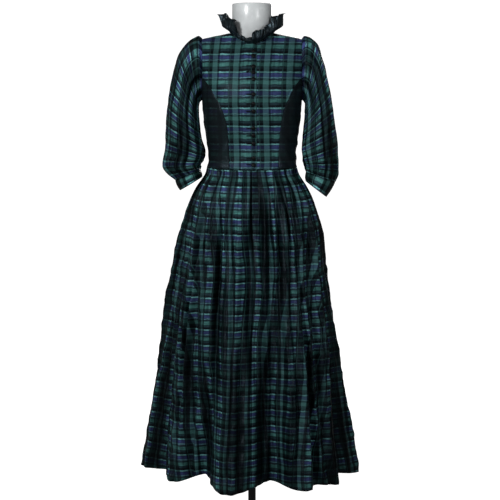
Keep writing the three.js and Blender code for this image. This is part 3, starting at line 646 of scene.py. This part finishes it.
def addBodicePiece(node, spots, material, warpStart, lapped=False, side=False):
    s = bodiceSettings
    rowCount = len(spots) - 1
    columnCount = len(spots[0]) - 1
    base = [[bodyPoint(spot.x, spot.y) for spot in line] for line in spots]
    grid = []
    for r, line in enumerate(spots):
        result = []
        for c, spot in enumerate(line):
            point = base[r][c]
            toSide = min((point - base[r][0]).length, (point - base[r][columnCount]).length)
            toEnd = min((point - base[0][c]).length, (point - base[rowCount][c]).length)
            dip = s["seamDepth"] * math.exp(-(toSide / s["seamWidth"]) ** 2)
            calm = smoothStep(0, s["seamCalm"], min(toSide, toEnd))
            lift = lapLift(point.x) if lapped else 0
            out = lift - dip + calm * bodiceCrease(point, side)
            result.append(point + bodyNormal(spot.x, spot.y) * out)
        grid.append(result)

    def flatPlace(r, c):
        point = base[r][c]
        return point.x - warpStart + s["depthShare"] * abs(point.y), s["weftStart"] - point.z

    standOn(makeSheet(node, grid, flatPlace, material), node)


def mirrored(spots):
    return [Vector((-spot.x, spot.y)) for spot in spots]


for side, edgeX in (("left", bodiceSettings["lapEdge"]), ("right", bodiceSettings["underLap"])):
    reach = -edgeX if side == "left" else edgeX
    turn = math.asin(reach / bodiceShape["neckHalf"])
    seam = princessSeam("front", side)
    right = seam + armholeUpper("front")[1:]
    left = frontEdge(reach, turn)
    bottom = waistLine(left[0].x, seam[0].x, neckColumns + shoulderColumns)
    edges = [bottom, neckAndShoulder(turn, "front"), left, right]
    if side == "left":
        edges = [mirrored(edge) for edge in edges]
    addBodicePiece(
        "bodice_front_" + side, fillPatch(*edges), plaidCloth,
        bodiceSettings["warpStart"][side], lapped=side == "left",
    )

for face in ("front", "back"):
    for side in ("left", "right"):
        seam = princessSeam(face, side)
        start = armholeEdge[0]["level"]
        sideSeam = spread(lambda t: Vector((quarter, -1 + (1 + start) * t)), lowerRows)
        bottom = waistLine(seam[0].x, quarter, sideColumns)
        edges = [bottom, armholeLower(face)[::-1], seam, sideSeam]
        if side == "left":
            edges = [mirrored(edge) for edge in edges]
        # The side panels get the dark copy of the plaid: painted shade where the bodice turns away from
        # the light
        addBodicePiece(
            f"bodice_side_{face}_{side}", fillPatch(*edges), shadedPlaidCloth,
            bodiceSettings["warpStart"]["side"], side=True,
        )



def otherSide(spots):
    return [Vector((fullTurn - spot.x, spot.y)) for spot in spots]


backRight = princessSeam("back", "right") + armholeUpper("back")[1:]
backLeft = otherSide(backRight)
halfNeck = neckAndShoulder(math.pi, "back")
backTop = halfNeck[::-1] + otherSide(halfNeck)[1:]
backBottom = waistLine(backRight[0].x, backLeft[0].x, len(backTop) - 1)
addBodicePiece(
    "bodice_back", fillPatch(backBottom, backTop, backRight, backLeft), plaidCloth,
    bodiceSettings["warpStart"]["back"],
)
print("bodice made")


# Skirt
skirtSections = rows(("z", "left", "right", "front", "back"), [
    (100, 287, 261, 226, 243), (202, 277, 251, 217, 233), (339, 260, 240, 202, 219),
    (476, 244, 230, 188, 205), (590, 229, 212, 175, 191), (681, 212, 201, 164, 179),
    (772, 196, 194, 152, 166), (863, 175, 175, 136, 146),
    (909, 157, 157, 123, 129), (950, 131, 132, 104, 103), (971, 127, 127, 98, 96),
])
hemFlutes = rows(("angle", "out", "hem"), [
    (-180, -30, 106), (-163, 36, 100), (-146, -34, 108), (-130, 32, 101), (-114, -30, 110),
    (-98, 39, 101), (-72, -38, 108), (-45, 8, 98), (-29, -38, 117), (-10, 50, 83), (11, -36, 105),
    (24, 46, 88), (41, 14, 94), (55, 26, 87), (74, -34, 98), (93, 42, 86), (112, -30, 109),
    (128, 34, 101), (146, -34, 108), (163, 36, 100), (180, -30, 106),
])
gatherDepths = rows(("z", "depth"), [
    (560, 0), (700, 1.8), (840, 3), (930, 3.2), (955, 2.4), (970, 0.4),
])
skirtSettings = {
    "growth": 1.2, "gathers": 30, "columns": 110, "rows": 116, "rowPower": 1.12, "slack": 1.14,
    "widths": ["back_left", "side_left", "front_left", "front_right", "side_right", "back_right"],
    "fanShare": 0.5, "fanFrom": [0, 0.5, 1, 0, 0.5, 1],
    "seamGap": 0.1, "seamTuck": 0.5, "topRise": 0.5, "topFade": 0.02,
    "lapFade": 0.03, "lapEdge": (16, 10), "backSeam": (180, 166), "looseShare": 0.3,
    "foldStart": (0.02, 0.22), "foldLoss": 0.3, "foldAtSides": 0.55, "crumpleStart": (0.04, 0.2),
    "wander": 1.6, "wanderWide": 30, "wanderAlong": 1.6, "wanderSeed": 12.0,
}
# Uneven spacing of the gathers, long folds, small crumples, and how the plaid drifts on the cloth
gatherDrift = rows(("waves", "phase", "reach"), [(13, 1.3, 9), (7, 0, 5)])
skirtFolds = rows(("depth", "wide", "along", "seed"), [(28, 6.8, 1.1, 2.0), (15, 3.0, 1.7, 6.0)])
skirtCrumples = rows(("depth", "wide", "wander", "high", "seed"), [
    (4.5, 5, 1, 42, 9.0), (2.2, 2.2, 0, 17, 15.0),
])
plaidDrift = rows(("reach", "columns", "rows", "seed"), [(24, 42, 38, 3.3), (10, 17, 22, 7.7)])


def skirtRing(section, angle):
    side = section["left"] if angle < 0 else section["right"]
    depth = section["front"] if abs(angle) <= 90 else section["back"]
    turn = angle * degree
    across = signPower(math.sin(turn), bodiceShape["square"])
    along = signPower(math.cos(turn), bodiceShape["square"])
    return side * across, -depth * along, side, depth


def skirtPoint(angle, down):
    s = skirtSettings
    turn = angle * degree
    drop = bodiceShape["underarm"] - bodiceShape["waist"]
    topZ = bodiceShape["underarm"] + waistLevel(turn) * drop - 2 * s["seamGap"]
    z = mix(topZ, readWave(hemFlutes, "angle", "hem", angle), down)
    x, y, side, depth = skirtRing(sectionAt(skirtSections, z), angle)
    outward = Vector((x / side ** 2, y / depth ** 2, 0)).normalized()
    lapFade = math.exp(-(down / s["lapFade"]) ** 2) * smoothStep(*s["lapEdge"], x)
    lap = lapLift(x) * (lapFade * (abs(angle) < 90))
    if down == 0:
        edge = bodyPoint(turn, waistLevel(turn))
        return Vector((edge.x, edge.y, topZ)) + outward * (s["topRise"] + lap)
    flute = readWave(hemFlutes, "angle", "out", angle) * down ** s["growth"]
    loose = sum(
        math.sin(turn * row["waves"] + row["phase"]) * row["reach"] * degree for row in gatherDrift
    )
    gather = readTable(gatherDepths, "z", "depth", z)
    gather *= math.cos((turn + loose * s["looseShare"]) * s["gathers"])
    wander = s["wander"] * soft(angle / s["wanderWide"], down * s["wanderAlong"], s["wanderSeed"])
    calm = smoothStep(*s["backSeam"], abs(angle))
    long = smoothStep(*s["foldStart"], down) * (1 - s["foldLoss"] * down)
    long *= mix(s["foldAtSides"], 1, abs(math.cos(turn))) * calm
    ripple = sum(
        row["depth"] * long * soft(angle / row["wide"] + wander, down * row["along"], row["seed"])
        for row in skirtFolds
    )
    crumple = sum(
        row["depth"] * soft(angle / row["wide"] + row["wander"] * wander, z / row["high"], row["seed"])
        for row in skirtCrumples
    )
    crumple *= smoothStep(*s["crumpleStart"], down) * calm
    start = s["topRise"] * math.exp(-(down / s["topFade"]) ** 2)
    return Vector((x, y, z)) + outward * (flute + gather + ripple + crumple + lap + start)


def addSkirt():
    s = skirtSettings
    perWidth = s["columns"]
    count = len(s["widths"]) * perWidth
    angles = [-180 + 360 / count * c for c in range(count + 1)]
    hem = [skirtPoint(angle, 1) for angle in angles]
    hemLength = [0]
    for before, after in zip(hem, hem[1:]):
        hemLength.append(hemLength[-1] + (after - before).length)
    downs = [(r / s["rows"]) ** s["rowPower"] for r in range(s["rows"] + 1)]
    for w, name in enumerate(s["widths"]):
        first = w * perWidth
        middle = hemLength[round((w + s["fanFrom"][w]) * perWidth)]
        grid = []
        for down in downs:
            line = [skirtPoint(angle, down) for angle in angles[first:first + perWidth + 1]]
            for end in (0, -1):
                line[end] = line[end] - fromAxis(line[end]).normalized() * s["seamTuck"]
            grid.append(line)

        def flatPlace(r, c):
            column = first + c
            fan = mix(s["fanShare"], 1, downs[r])
            drift = sum(
                row["reach"] * soft(column / row["columns"], r / row["rows"], row["seed"])
                for row in plaidDrift
            )
            length = grid[0][c].z - grid[r][c].z
            return (hemLength[column] - middle) * fan + drift, length * s["slack"]

        node = "skirt_" + name
        standOn(makeSheet(node, grid, flatPlace, skirtCloth), node)


addSkirt()
print("skirt made")


# Sleeves: each ring by its outer and inner end, its depth to the front and back, and its gathers
sleeveNames = ("outX", "outZ", "inX", "inZ", "front", "back", "gather")
sleeveRings = {
    "right": rows(sleeveNames, [
        (153, 1335, 146, 1156, 51, 48, 2.2), (183, 1317, 150, 1146, 60, 56, 3.4),
        (202, 1270, 150, 1130, 66, 60, 3), (218, 1200, 149, 1100, 68, 61, 2.6),
        (230, 1140, 146, 1064, 68, 59, 2.6), (238, 1080, 141, 1026, 67, 56, 2.6),
        (241, 1022, 147, 990, 65, 52, 3), (243, 968, 153, 974, 62, 47, 3.2),
        (238, 928, 153, 957, 54, 38, 0.8),
    ]),
    "left": rows(sleeveNames, [
        (153, 1335, 146, 1156, 51, 48, 2.2), (186, 1315, 150, 1146, 60, 56, 3.4),
        (211, 1272, 150, 1130, 66, 60, 3), (226, 1200, 149, 1100, 68, 61, 2.6),
        (238, 1140, 145, 1064, 68, 59, 2.6), (243, 1078, 138, 1020, 67, 56, 2.6),
        (246, 1020, 141, 994, 65, 52, 3), (254, 968, 148, 976, 62, 47, 3.2),
        (219, 932, 146, 962, 54, 38, 0.8),
    ]),
}
cuffRings = {
    "right": rows(sleeveNames, [
        (237.4, 927.3, 153.6, 956.5, 53.6, 37.7, 0), (212, 884, 153, 929, 52, 34, 0),
    ]),
    "left": rows(sleeveNames, [
        (218.6, 931.5, 146.4, 961.4, 53.6, 37.7, 0), (205, 903, 142, 941, 52, 35, 0),
    ]),
}
sleeveSettings = {
    "perEdge": 8, "upperEdges": 6, "lowerEdges": 5, "perRing": 9, "headIn": 5, "headTuck": 0.035,
    "twist": 0.13, "gathers": 11, "headGather": 0.4, "gatherShare": 0.9, "gatherStart": 0.05,
    "waver": 1.1, "waverWaves": 3, "waverAlong": 2, "calmTop": (0, 0.08), "calmEnd": (1, 0.93),
    "flatWidth": 372,
    "left": {"flip": -1, "seed": 20, "warpStart": 15},
    "right": {"flip": 1, "seed": 40, "warpStart": 40},
}
sleeveCreases = rows(("depth", "slant", "fine", "along", "seed"), [
    (6.5, 1, 2.8, 2.6, 0), (4.5, -1, 5.5, 5, 5.5), (2.2, 0, 8, 16, 8.5),
])
cuffSettings = {
    "rows": 8, "puff": 2.2, "crease": 0.8, "fine": 6, "along": 2, "seed": 9,
    "flatWidth": 248, "warpStart": 8, "weftStart": 22, "weftStep": 4.5,
}
upperColumns = sleeveSettings["upperEdges"] * sleeveSettings["perEdge"]
underColumns = sleeveSettings["lowerEdges"] * sleeveSettings["perEdge"]
ringColumns = 2 * (upperColumns + underColumns)


def ringTurn(i):
    return i / ringColumns * fullTurn


def sleeveRing(row, side):
    centre = Vector(((row["outX"] + row["inX"]) / 2, 0, (row["outZ"] + row["inZ"]) / 2))
    toOuter = Vector((row["outX"], 0, row["outZ"])) - centre
    ring = []
    for i in range(ringColumns):
        turn = ringTurn(i)
        depth = row["front"] if math.sin(turn) >= 0 else row["back"]
        point = centre + toOuter * math.cos(turn)
        point.y = -depth * math.sin(turn)
        point.x *= sleeveSettings[side]["flip"]
        ring.append(point)
    return ring


def armholeRing(side):
    s = sleeveSettings
    front = armholeUpper("front", upperColumns)[::-1] + armholeLower("front", underColumns)[::-1][1:]
    back = armholeLower("back", underColumns)[1:] + armholeUpper("back", upperColumns)[1:-1]
    ring = []
    for spot in front + back:
        point = bodyPoint(spot.x, spot.y)
        point.x = (point.x - s["headIn"]) * s[side]["flip"]
        ring.append(point)
    centre = sum(ring, Vector()) / len(ring)
    return [point.lerp(centre, s["headTuck"]) for point in ring]


# A smooth curve through b and c, with a and d as their neighbours
def through(a, b, c, d, t):
    bend = (2 * a - 5 * b + 4 * c - d) * t * t
    return 0.5 * (2 * b + (c - a) * t + bend + (3 * b - a - 3 * c + d) * t ** 3)


def addCuff(side, fromArm):
    s = cuffSettings
    seed = sleeveSettings[side]["seed"] + s["seed"]
    top, foot = [sleeveRing(row, side) for row in cuffRings[side]]
    middleX = (top[0].x + top[ringColumns // 2].x) / 2
    grid = []
    for r in range(s["rows"] + 1):
        t = r / s["rows"]
        line = []
        for i in range(ringColumns):
            point = top[i].lerp(foot[i], t)
            crease = around(ringTurn(i), s["fine"], t * s["along"], seed)
            puff = s["puff"] * math.sin(math.pi * t) + s["crease"] * crease
            line.append(point + (point - Vector((middleX, 0, point.z))).normalized() * puff)
        grid.append(line)

    def flatPlace(r, c):
        across = c / ringColumns * s["flatWidth"] + s["warpStart"]
        return across, s["weftStart"] + r * s["weftStep"]

    piece = makeSheet("cuff_" + side, grid, flatPlace, sleeveCloth, closed=True, awayFrom=fromArm)
    standOn(piece, "cuff_" + side)


def addSleeve(side):
    s = sleeveSettings
    seed = s[side]["seed"]
    table = sleeveRings[side]
    rings = [armholeRing(side)] + [sleeveRing(row, side) for row in table]
    gathers = [s["headGather"]] + [row["gather"] for row in table]
    last = len(rings) - 1
    grid = []
    for k in range(last):
        for j in range(s["perRing"] + (k == last - 1)):
            t = j / s["perRing"]
            share = (k + t) / last
            near = [rings[max(0, k - 1)], rings[k], rings[k + 1], rings[min(last, k + 2)]]
            line = [through(*corners, t) for corners in zip(*near)]
            centre = sum(line, Vector()) / ringColumns
            depth = mix(gathers[k], gathers[k + 1], t) * s["gatherShare"]
            calm = smoothStep(*s["calmTop"], share) * smoothStep(*s["calmEnd"], share)
            result = []
            for i, point in enumerate(line):
                turn = ringTurn(i)
                phase = (turn + s["twist"] * share) * s["gathers"]
                phase += s["waver"] * math.sin(turn * s["waverWaves"] + share * s["waverAlong"] + seed)
                crease = 0
                for row in sleeveCreases:
                    place = turn + row["slant"] * share
                    along = share * row["along"]
                    crease += row["depth"] * around(place, row["fine"], along, seed + row["seed"])
                gather = depth * math.cos(phase) * smoothStep(0, s["gatherStart"], share)
                result.append(point + (point - centre).normalized() * (gather + crease * calm))
            grid.append(result)
    lengths = [0]
    for before, after in zip(grid, grid[1:]):
        lengths.append(lengths[-1] + (after[0] - before[0]).length)

    def flatPlace(r, c):
        return c / ringColumns * s["flatWidth"] + s[side]["warpStart"], lengths[r]

    middle = sum((point for line in grid for point in line), Vector()) / (len(grid) * ringColumns)
    axis = toMetres(Vector((middle.x, middle.y, 0)))

    def fromArm(point):
        return Vector((point.x - axis.x, point.y - axis.y, 0))

    piece = makeSheet("sleeve_" + side, grid, flatPlace, sleeveCloth, closed=True, awayFrom=fromArm)
    standOn(piece, "sleeve_" + side)
    addCuff(side, fromArm)


for side in ("left", "right"):
    addSleeve(side)
print("sleeves made")


# Neck ruffle: height and reach of its edge, round the neck from the centre front over the left side
ruffleEdge = rows(("angle", "rise", "out"), [
    (-346, 38, 10), (-335, 42, 22), (-322, 42, 8), (-310, 50, 22), (-299, 56, 6), (-284, 56, 16),
    (-270, 60, 27), (-256, 54, 10), (-243, 50, 26), (-230, 44, 4), (-216, 48, 24), (-202, 42, 2),
    (-188, 47, 24), (-174, 42, 2), (-160, 48, 25), (-147, 42, 3), (-133, 49, 25), (-120, 43, 4),
    (-107, 61, 14), (-94, 55, 24), (-80, 60, 15), (-66, 48, 22), (-55, 50, 9), (-45, 50, 21),
    (-37, 24, 9), (-28, 12, 18), (-19, 15, 8), (-11, 12, 16), (-4, 17, 8), (3, 34, 18), (10, 40, 13),
    (21, 39, 19),
])
ruffleSettings = {
    "start": 21, "end": -343, "columns": 560, "rows": 16, "lean": 0.34, "centreY": -2, "wrap": 30,
    "lapEnd": -60, "seamRise": 0.45, "swell": 7, "tuck": 1.8, "tucks": 56,
    "curl": 2.5, "curlFrom": 0.72, "edgeDrop": 5, "edgeFrom": 0.8,
    "flop": 15, "flopAt": -47, "flopWide": 12, "flatColumn": 1.45, "flatRow": 3.0,
}
ruffleFrill = rows(("depth", "wide", "along", "seed"), [(15, 7.5, 1.2, 5), (5, 3.4, 2, 11)])
ruffleWaves = {"uneven": (2.4, 6, 1, 3), "lift": (5, 9, 7, 2), "sway": (15, 8, 4, 2)}


def neckBase():
    points = []
    for face, turns in (("front", range(0, 91, 3)), ("back", range(87, -1, -3))):
        for turn in turns:
            spot = neckSpot(max(0.001, turn * degree), face)
            points.append(bodyPoint(spot.x, spot.y))
    whole = [Vector((-p.x, p.y, p.z)) for p in points] + [p.copy() for p in points[-2::-1]]
    path = []
    for point in whole:
        angle = -math.degrees(math.atan2(abs(point.x), -(point.y - ruffleSettings["centreY"])))
        if point.x > 0.5:
            angle = -360 - angle
        path.append((angle, point))
    return path


def ruffleWave(kind, angle):
    depth, wide, along, seed = ruffleWaves[kind]
    return depth * soft(angle / wide, along, seed)


def addRuffle():
    s = ruffleSettings
    path = neckBase()
    before = [(angle + 360, point) for angle, point in path if angle < s["wrap"] - 360]
    after = [(angle - 360, point) for angle, point in path if angle > -s["wrap"]]
    path = sorted(before + path + after, key=lambda place: -place[0])

    def baseAt(angle):
        for (high, above), (low, below) in zip(path, path[1:]):
            if high >= angle >= low:
                return above.lerp(below, (high - angle) / ((high - low) or 1))

    stations = []
    for c in range(s["columns"] + 1):
        angle = mix(s["start"], s["end"], c / s["columns"])
        base = baseAt(angle)
        if abs(base.x) < -bodiceSettings["lapStart"] and base.y < 0 and angle > s["lapEnd"]:
            base.y -= lapLift(base.x)
        stations.append((angle, base))
    grid = []
    for r in range(s["rows"] + 1):
        share = r / s["rows"]
        curl = s["curl"] * smoothStep(s["curlFrom"], 1, share)
        line = []
        for angle, base in stations:
            away = Vector((base.x, base.y - s["centreY"], 0)).normalized()
            side = Vector((-away.y, away.x, 0))
            rise = readWave(ruffleEdge, "angle", "rise", angle) + ruffleWave("uneven", angle) * share
            rise += s["swell"] * math.sin(math.pi * share)
            rise += ruffleWave("lift", angle) * share
            rise -= s["edgeDrop"] * smoothStep(s["edgeFrom"], 1, share)
            out = readWave(ruffleEdge, "angle", "out", angle)
            tuck = s["tuck"] * math.cos(angle * degree * s["tucks"]) * (1 - share) ** 2
            frill = sum(
                row["depth"] * share * soft(angle / row["wide"], share * row["along"], row["seed"])
                for row in ruffleFrill
            )
            lean = out * smoothStep(0, s["lean"], share) + tuck + frill + curl
            flop = math.exp(-((angle - s["flopAt"]) / s["flopWide"]) ** 2)
            sway = ruffleWave("sway", angle) * share + s["flop"] * share ** 2 * flop
            up = Vector((0, 0, s["seamRise"] + rise * share))
            line.append(base + up + away * lean + side * sway)
        grid.append(line)

    def flatPlace(r, c):
        return c * s["flatColumn"], r * s["flatRow"]

    piece = makeSheet("neck_ruffle", grid, flatPlace, ruffleCloth, thickness=0.8)
    standOn(piece, "neck_ruffle")


addRuffle()
print("ruffle made")


# Turned solids: a profile of radius and height in millimetres, spun round its axis
def spinProfile(work, profile, steps):
    corners = [work.verts.new((r * mm, 0, z * mm)) for r, z in profile]
    edges = [work.edges.new((a, b)) for a, b in zip(corners, corners[1:])]
    bmesh.ops.spin(
        work, geom=corners + edges, cent=(0, 0, 0), axis=(0, 0, 1), angle=fullTurn,
        steps=steps, use_merge=True,
    )
    bmesh.ops.remove_doubles(work, verts=work.verts, dist=0.00001)
    bmesh.ops.recalc_face_normals(work, faces=work.faces)


def meshPiece(name, work, material):
    mesh = bpy.data.meshes.new(name)
    for face in work.faces:
        face.smooth = True
    work.to_mesh(mesh)
    work.free()
    piece = bpy.data.objects.new(name, mesh)
    scene.collection.objects.link(piece)
    piece.data.materials.append(material)
    return piece


# Covered buttons and their worked buttonholes on the lap
buttonSettings = {
    "x": 4, "count": 13, "steps": 28, "sink": 2.8,
    "profile": [
        (0, 0), (3.4, 0.1), (5.4, 0.9), (6.1, 2.2), (5.9, 3.4), (5.0, 4.6), (3.3, 5.3), (1.6, 5.5),
        (0, 5.55),
    ],
}
holeSettings = {
    "from": -16, "to": -2, "parts": 8, "width": 1.5, "endShare": 0.55, "rise": 0.2, "height": 1.1,
}


def addButton(node, centre):
    s = buttonSettings
    spot = bodySpot(s["x"], centre.z / mm - standLift, "front")
    normal = bodyNormal(spot.x, spot.y)
    work = bmesh.new()
    spinProfile(work, s["profile"], s["steps"])
    turned = Vector((0, 0, 1)).rotation_difference(normal).to_matrix().to_4x4()
    bmesh.ops.transform(work, matrix=turned, verts=work.verts)
    bmesh.ops.translate(work, vec=centre - normal * s["sink"] * mm, verts=work.verts)
    standOn(meshPiece(node + "_cover", work, buttonCloth), node)


def addButtonhole(number, z):
    s = holeSettings
    work = bmesh.new()
    sections = []
    for k in range(s["parts"] + 1):
        x = mix(s["from"], s["to"], k / s["parts"])
        spot = bodySpot(x, z, "front")
        out = bodyNormal(spot.x, spot.y)
        point = bodyPoint(spot.x, spot.y) + out * (lapLift(x) + s["rise"])
        half = s["width"] * (s["endShare"] if k in (0, s["parts"]) else 1)
        corners = [(-half, 0), (-half / 2, s["height"]), (half / 2, s["height"]), (half, 0)]
        places = [toMetres(point + Vector((0, 0, up)) + out * high) for up, high in corners]
        sections.append([work.verts.new(place) for place in places])
    for a, b in zip(sections, sections[1:]):
        for j in range(4):
            n = (j + 1) % 4
            work.faces.new((a[j], b[j], b[n], a[n]))
    work.faces.new(sections[0][::-1])
    work.faces.new(sections[-1])
    bmesh.ops.recalc_face_normals(work, faces=work.faces)
    hole = meshPiece(f"buttonhole_{number}", work, threadCloth)
    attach(hole, "root")


for number in range(1, buttonSettings["count"] + 1):
    node = f"button_{number}"
    low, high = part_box(node)
    centre = (low + high) / 2
    addButton(node, centre)
    addButtonhole(number, centre.z / mm - standLift)
print("buttons made")


# Dress form: torso and neck
formSettings = {
    "gapBody": 4.6, "gapFront": wall + 2.4, "gapBack": wall + 3.5, "gapRidge": wall + 1.15,
    "clear": 0.5, "shoulder": (0.1, 0.6), "ridge": (0.955, 0.993),
    "pull": 16, "pullSides": (0.75, 1), "pullStart": (0, 0.3),
    "columns": 96, "foot": 782, "hipTop": 966, "hipRings": 16,
    "bodyStart": -0.9, "bodyLevels": 1.893, "bodyRings": 40,
    "neckRadius": 56, "neckDepth": 54, "neckCentre": -2, "neckTop": 1430, "neckFoot": 1280,
    "neckBevel": [(0, 4), (1.2, 1.2), (4, 0)],
}
formSections = rows(("z", "side", "front", "back"), [
    (782, 118, 84, 98), (790, 134, 97, 113), (850, 143, 103, 122), (900, 137, 99, 116),
    (940, 123, 92, 100), (966, 117, 89, 90),
])


def hipRing(z):
    columns = formSettings["columns"]
    section = sectionAt(formSections, z)
    section["left"] = section["right"] = section["side"]
    ring = []
    for i in range(columns):
        x, y, _, _ = skirtRing(section, (i + 0.5) / columns * 360 - 180)
        ring.append(Vector((x, y, z)))
    return ring


def formRing(level):
    s = formSettings
    ring = []
    for i in range(s["columns"]):
        angle = (i + 0.5) / s["columns"] * fullTurn - math.pi
        shoulder = s["gapFront"] if math.cos(angle) > 0 else s["gapBack"]
        under = mix(s["gapBody"], shoulder, smoothStep(*s["shoulder"], level))
        clear = mix(under, s["gapRidge"], smoothStep(*s["ridge"], level)) + s["clear"]
        point = bodyPoint(angle, level) - bodyNormal(angle, level) * clear
        ends = smoothStep(*s["pullSides"], abs(math.sin(angle))) * smoothStep(*s["pullStart"], level)
        point.x -= math.copysign(s["pull"] * ends, point.x)
        ring.append(point)
    return ring


def neckRing(radius, z):
    s = formSettings
    depth = radius * s["neckDepth"] / s["neckRadius"]
    turns = [i / s["columns"] * fullTurn for i in range(s["columns"])]
    return [Vector((radius * math.sin(t), s["neckCentre"] - depth * math.cos(t), z)) for t in turns]


def closeRings(work, rings):
    lines = [[work.verts.new(toMetres(point)) for point in ring] for ring in rings]
    for low, high in zip(lines, lines[1:]):
        for i in range(len(low)):
            n = (i + 1) % len(low)
            work.faces.new((low[i], low[n], high[n], high[i]))
    work.faces.new(lines[0])
    work.faces.new(lines[-1])


def addForm():
    s = formSettings
    hips = [hipRing(mix(s["foot"], s["hipTop"], k / s["hipRings"])) for k in range(s["hipRings"] + 1)]
    levels = [s["bodyStart"] + s["bodyLevels"] * k / s["bodyRings"] for k in range(s["bodyRings"] + 1)]
    bevel = [neckRing(s["neckRadius"] - inside, s["neckTop"] - down) for inside, down in s["neckBevel"]]
    work = bmesh.new()
    closeRings(work, hips + [formRing(level) for level in levels])
    closeRings(work, [neckRing(s["neckRadius"], s["neckFoot"])] + bevel)
    bmesh.ops.recalc_face_normals(work, faces=work.faces)
    piece = meshPiece("painted_form", work, formPaint)
    for face in piece.data.polygons:
        face.use_smooth = len(face.vertices) == 4
    standOn(piece, "dress_form")


addForm()

standSettings = {
    "steps": 72,
    "sharp": 35,
    "profiles": {
        "stand_pole": [(0, 46.3), (11, 46.3), (11, 831.7), (0, 831.7)],
        "stand_base": [
            (0, 0), (148, 0), (150, 1.5), (150, 6), (149, 8.5), (146.5, 10.6), (143, 12), (60, 15),
            (36, 16.5), (28, 19), (24, 23), (19, 33), (16, 44), (14.5, 46), (0, 46),
        ],
    },
}
for name, profile in standSettings["profiles"].items():
    work = bmesh.new()
    spinProfile(work, profile, standSettings["steps"])
    piece = meshPiece("turned_" + name, work, standMetal)
    piece.data.set_sharp_from_angle(angle=math.radians(standSettings["sharp"]))
    standOn(piece, name)
print("form and stand made")


# Floor and backdrop, which glow so that they stay white behind the dress.
# Their diffuse and glossy rays are off, so that the glow doesn't light the cloth.
stageSettings = {
    "floor": {"size": 40, "turn": 0, "place": (0, 0, 0)},
    "backdrop": {"size": 40, "turn": 90, "place": (0, 8, 0)},
}
stageMaterial = newMaterial(
    "stage", 0.95, Base_Color=(0.5, 0.5, 0.5, 1), Specular_IOR_Level=0.0,
    Emission_Color=(1, 1, 1, 1), Emission_Strength=1.0,
)[0]
for name, s in stageSettings.items():
    work = bmesh.new()
    bmesh.ops.create_grid(work, x_segments=2, y_segments=2, size=s["size"] / 2)
    piece = meshPiece(name, work, stageMaterial)
    piece.rotation_euler = (math.radians(s["turn"]), 0, 0)
    piece.location = s["place"]
    piece.visible_diffuse = False
    piece.visible_glossy = False

# Light: a dim room, a soft key light from the front left, a weaker one from the right, one behind
roomSettings = {"Color": (1, 1, 1, 1), "Strength": 0.13}
world = bpy.data.worlds.new("room")
world.use_nodes = True
for name, value in roomSettings.items():
    world.node_tree.nodes["Background"].inputs[name].default_value = value
scene.world = world
lightSettings = [
    {"name": "key", "place": (-2.5, -3.9, 2.6), "aim": (0, 0, 0.9), "size": 0.8, "power": 125},
    {"name": "fill", "place": (2.2, -3.8, 1.9), "aim": (0, 0, 0.9), "size": 1.2, "power": 32},
    {"name": "back", "place": (0.6, 4.2, 2.3), "aim": (0, 0, 0.9), "size": 1.6, "power": 70},
]
for s in lightSettings:
    lamp = bpy.data.lights.new(s["name"], "AREA")
    lamp.size = s["size"]
    lamp.energy = s["power"]
    light = bpy.data.objects.new(s["name"], lamp)
    light.location = s["place"]
    towards = Vector(s["aim"]) - Vector(s["place"])
    light.rotation_euler = towards.to_track_quat("-Z", "Y").to_euler()
    scene.collection.objects.link(light)

print("all made")
